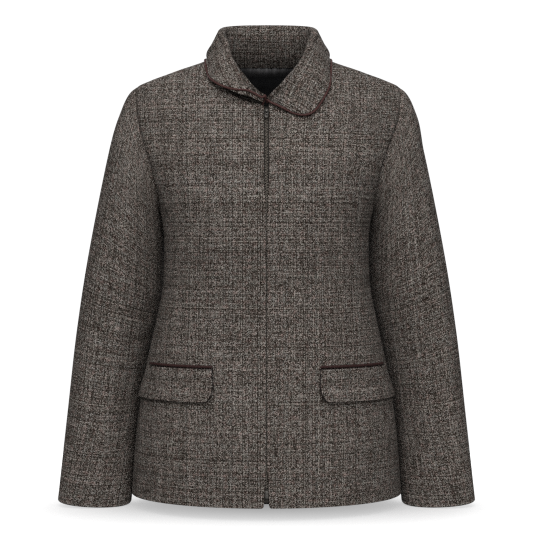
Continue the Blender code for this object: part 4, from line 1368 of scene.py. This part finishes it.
def satin_material(name, colour, highlight, roughness, top):
    """Satin with fine floats, a little uneven in its gloss, with a painted sheen in pale streaks below its
    upper edge.
    """
    n = Material(name, roughness, 0.35)
    flat = n.grain()
    fine = n.noise(n.stretch(flat, (9000.0, 900.0, 0.0)), 1.0, 1.0)[0]
    broad = n.noise(flat, 60.0, 3.0)[0]
    streak = n.noise(n.stretch(flat, (120.0, 16.0, 0.0)), 1.0)[0]
    # Painted sheen: a paler streaked band below the upper edge stands for light caught by the satin
    band = n.range(n.parts(flat)[1], top - BAND_LOW, top - BAND_HIGH)
    painted_sheen = n.times(band, n.range(streak, 0.20, 0.80, 0.25, 1.0))
    plain = n.ramp(n.times(n.plus(fine, broad), 0.5), (0.3, colour), (0.75, highlight))
    gloss = n.range(broad, 0.3, 0.7, roughness - 0.06, roughness + 0.10)
    n.set(Base_Color=n.mix(painted_sheen, plain, (*PAINTED_SHEEN_COLOUR, 1.0)), Roughness=gloss, Sheen_Weight=0.05)
    n.bump(n.plus(n.times(fine, 0.25), broad), 0.0006, 0.35)
    return n.material


def piping_material(name, colour, highlight):
    """Wine satin cut on the bias and drawn over a cord, with short slanting wrinkles."""
    n = Material(name, 0.55, 0.15)
    flat = n.grain()
    waver = n.stretch(n.noise(flat, 300.0, 1.0)[1], (1.6, 1.6, 0.0))
    slant = n.shift(n.stretch(flat, (700.0, 420.0, 0.0)), waver)
    wrinkle = n.math("SINE", n.times(n.plus(*n.parts(slant)[:2]), 2.2))
    weave = n.noise(n.stretch(flat, (6000.0, 6000.0, 0.0)), 1.0, 1.0)[0]
    # Painted shade: the colour follows the wrinkles, paler on their crests and darker in their troughs, with
    # the weave's own uneven tone
    tone = n.plus(n.times(wrinkle, 0.16), n.plus(n.times(weave, 0.5), 0.2))
    n.set(Base_Color=n.ramp(tone, (0.15, colour), (0.85, highlight)), Sheen_Weight=0.02)
    n.bump(n.plus(n.times(wrinkle, 0.5), n.times(weave, 0.5)), 0.00025, 0.6)
    return n.material


def tape_material():
    """Dark woven tape in a narrow herringbone."""
    n = Material("zip_tape_cloth", 0.8, 0.2)
    flat = n.grain()
    across, up, _ = n.parts(flat)
    zigzag = n.math("PINGPONG", across, 0.0024)
    twill = n.math("SINE", n.times(n.plus(zigzag, up), 2 * math.pi / 0.0011))
    tone = n.plus(n.times(twill, 0.25), n.noise(flat, 1800.0)[0])
    n.set(Base_Color=n.ramp(tone, (0.2, (0.018, 0.015, 0.013)), (0.9, (0.060, 0.052, 0.045))))
    n.bump(tone, 0.0002, 0.6)
    return n.material


def metal_material(name, colour, highlight):
    """Dark metal, brushed and a little worn."""
    n = Material(name, 0.38, 0.5, 1.0)
    spot = n.make("TexCoord").outputs["Object"]
    brushed = n.noise(n.stretch(spot, (9000.0, 900.0, 900.0)), 1.0)[0]
    stain = n.noise(spot, 420.0, 3.0)[0]
    n.set(Base_Color=n.ramp(stain, (0.3, colour), (0.7, highlight)))
    n.set(Roughness=n.range(brushed, 0.2, 0.8, 0.30, 0.52))
    n.bump(brushed, 0.00004, 0.4)
    return n.material


def floor_material():
    """A pale floor whose glow, seen by the camera only, is weaker near its middle: a painted soft shadow
    under the jacket.
    """
    n = Material("pale_floor", 0.9, 0.1)
    spot = n.make("TexCoord").outputs["Object"]
    n.set(Base_Color=n.ramp(n.noise(spot, 30.0)[0], (0.0, (0.59, 0.59, 0.59)), (1.0, (0.61, 0.61, 0.61))))
    away = n.vector("LENGTH", n.stretch(spot, FLOOR_SPREAD))
    # Painted shadow: the glow is weaker near the floor's middle, under the jacket
    glow = n.range(away, *FLOOR_GLOW_AND_PAINTED_SHADOW, way="SMOOTHSTEP")
    seen = n.make("LightPath").outputs["Is Camera Ray"]
    n.set(Emission_Color=WHITE, Emission_Strength=n.times(seen, glow))
    return n.material


# The scene

def put_in(name, data, location, target):
    """An object of a camera or a lamp, aimed at a point."""
    item = bpy.data.objects.new(name, data)
    item.location = location
    item.rotation_euler = (Vector(target) - Vector(location)).to_track_quat("-Z", "Y").to_euler()
    bpy.context.scene.collection.objects.link(item)
    return item


def add_camera():
    """A camera at the photograph's angle."""
    data = bpy.data.cameras.new("camera")
    data.sensor_width = SENSOR
    data.lens = SENSOR * (Vector(TARGET) - Vector(CAMERA)).length / VIEW_WIDTH
    data.clip_end = CLIP_END
    bpy.context.scene.camera = put_in("camera", data, CAMERA, TARGET)


def add_area(name, location, target, size, power):
    """A soft square lamp aimed at a point."""
    data = bpy.data.lights.new(name, "AREA")
    data.shape = "SQUARE"
    data.size = size
    data.energy = power
    return put_in(name, data, location, target)


def keep_off(lamp, item):
    """Keeps a lamp's light off one object."""
    group = bpy.data.collections.new(lamp.name + "_off")
    group.objects.link(item)
    group.collection_objects[0].light_linking.link_state = "EXCLUDE"
    lamp.light_linking.receiver_collection = group


def add_world():
    """White surroundings; as light they are brightest overhead and dim below."""
    world = bpy.data.worlds.new("studio")
    world.use_nodes = True
    n = Nodes(world.node_tree)
    backdrop = n.tree.nodes["Background"]
    n.put(backdrop.inputs["Color"], WHITE)
    n.put(backdrop.inputs["Strength"], BACKDROP)
    up = n.parts(n.make("TexCoord").outputs["Generated"])[2]
    glow = n.make("Background", WHITE, n.range(up, *AMBIENT))
    seen = n.make("LightPath").outputs["Is Camera Ray"]
    both = n.make("MixShader", seen, glow.outputs[0], backdrop.outputs[0]).outputs[0]
    n.put(n.tree.nodes["World Output"].inputs["Surface"], both)
    bpy.context.scene.world = world


def add_floor():
    """A pale floor just under the cuffs, with a painted soft shadow under the jacket."""
    half = FLOOR_SIZE / 2
    corners = [(x * half, y * half, FLOOR_Z) for x, y in ((-1, -1), (1, -1), (1, 1), (-1, 1))]
    floor = place("floor", make_mesh("floor", corners, [[0, 1, 2, 3]]), floor_material())
    return floor


def dress(item, node, body="jacket"):
    """Ties a piece to its body and hides the imported node it stands for."""
    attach(item, body)
    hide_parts(node)
    return item


def make_lining(back, material):
    """The back lining, from above the hem to the neck, with small pleats under the neck seam."""
    panel = Panel(*(array[back.grain[:, 0, 1] > LINING_HEM] for array in back))
    inset = np.full(panel.points.shape[:2], (CLOTH + LINING) / 2 + SEAM)
    panel = sunk(panel, inset)
    below = edge_distances(panel.points)[1]
    across = panel.grain[..., 0]
    inside = clamp(1 - np.abs(across) / PLEAT_SPREAD) ** 0.5 * clamp(below / LINING_EDGE)
    wave = 0.5 + 0.5 * np.cos(uneven(across, *PLEAT_WAVE))
    pleat = PLEAT_DEPTH * wave * hump(below, PLEAT_AT, PLEAT_REACH)
    roll = LINING_ROLL * hump(below, ROLL_AT, ROLL_REACH)
    panel = sunk(panel, (pleat + roll) * inside)
    return shell("lining_cloth", panel, LINING, [LINING_RADIUS] * 4, [material])


def body_panels():
    """The panels of body and sleeves, creased and drawn in at their seams."""
    sleeve, mitre = sleeve_panel()
    front = front_panel(mitre)
    panels = {
        "front_left": front,
        "front_right": mirrored(front),
        "back": back_panel(mitre),
        "sleeve_left": sleeve,
        "sleeve_right": mirrored(sleeve, ring=True),
    }
    for name, panel in panels.items():
        panel = creased(panel, name)
        distances = edge_distances(panel.points)
        near = np.min([distances[edge] for edge in DRAWN_EDGES[name]], axis=0)
        along = panel.grain[:, :near.shape[1], 0 if name.startswith("sleeve") else 1]
        panels[name] = puckered(panel, near, along)
    return panels


def build():
    """Every piece of the jacket's looks."""
    tweed = tweed_material("wool_tweed")
    # A copy of the tweed for the collar, with painted shade towards the neck seam
    collar_tweed = tweed_material("wool_tweed_collar_painted_shade", painted_neck_shade=True)
    black = ((0.0026, 0.0026, 0.0028), (0.0072, 0.0072, 0.0080))
    satin = satin_material("black_satin", *black, 0.45, NECK_GRAIN)
    wine = piping_material("wine_satin", (0.031, 0.0125, 0.0112), (0.090, 0.040, 0.036))
    # A darker copy of the wine satin for the pocket piping: painted shade for its place in the pocket's mouth
    shaded_wine = piping_material("wine_satin_pocket_painted_shade", (0.017, 0.0065, 0.0060), (0.048, 0.020, 0.018))
    # The flaps' dark wine lining, also on their rim, where it is partly painted shade for the gap under the
    # flap
    shade = piping_material("wine_lining_and_painted_shade", (0.0045, 0.0028, 0.0026), (0.0110, 0.0062, 0.0058))
    tape = tape_material()
    metal = metal_material("gunmetal", (0.036, 0.034, 0.031), (0.085, 0.080, 0.074))
    brown = metal_material("brown_metal", (0.095, 0.083, 0.071), (0.190, 0.168, 0.145))
    all_folds = [FOLD_RADIUS] * 4

    panels = body_panels()
    for name, panel in panels.items():
        radii = [FOLD_RADIUS if edge in FREE_EDGES[name] else SEAM_RADIUS for edge in range(4)]
        ring = name.startswith("sleeve")
        piece = shell(name + "_cloth", panel, CLOTH, radii, [tweed, satin], ring)
        dress(piece, name)
    dress(make_lining(panels["back"], satin), "lining_back")

    trees = [outer_tree(panels[name]) for name in ("front_left", "front_right", "back")]
    collar = collar_panel(trees)
    collar_cloth = shell("collar_cloth", collar, COLLAR_CLOTH, all_folds, [collar_tweed])
    dress(collar_cloth, "collar")
    dress(tube("collar_cord", piping_path(collar), PIPING_RADIUS, wine), "collar_piping")

    flap, mouth = flap_panel(), pocket_piping_path()
    for side, panel, path in (("left", flap, mouth), ("right", mirrored(flap), mouth * (-1, 1, 1))):
        name = "flap_" + side
        rim = flap_rim(panel.points)
        flap_cloth = shell(name + "_cloth", panel, FLAP_CLOTH, all_folds, [tweed, shade], rim=rim)
        dress(flap_cloth, name)
        cord = tube("pocket_cord_" + side, path, POCKET_PIPING_RADIUS, shaded_wine)
        dress(cord, "pocket_piping_" + side)

    chain_sink = (CLOTH + CHAIN_THICKNESS) / 2 + SEAM
    tape_sink = chain_sink + (CHAIN_THICKNESS + TAPE_THICKNESS) / 2 + SEAM
    tape_cloth = shell("zip_tape_cloth", tape_panel(tape_sink), TAPE_THICKNESS, [TAPE_RADIUS] * 4, [tape])
    dress(tape_cloth, "zip_tape")
    dress(teeth(chain_sink, brown), "zip_chain")
    dress(make_box(chain_sink, metal), "zip_box")
    dress(make_slider(metal), "zip_slider")
    dress(make_pull(metal), "zip_pull", body="zip_pull")


add_camera()
add_world()
key = add_area("key", *KEY)
fill = add_area("fill", *FILL)
add_area("back", *BACK)
floor = add_floor()
keep_off(key, floor)
keep_off(fill, floor)
build()
bpy.context.scene.view_settings.view_transform = "Standard"
bpy.context.scene.view_settings.look = "None"
bpy.context.scene.cycles.use_denoising = False
bpy.context.scene.cycles.filter_width = 1.3
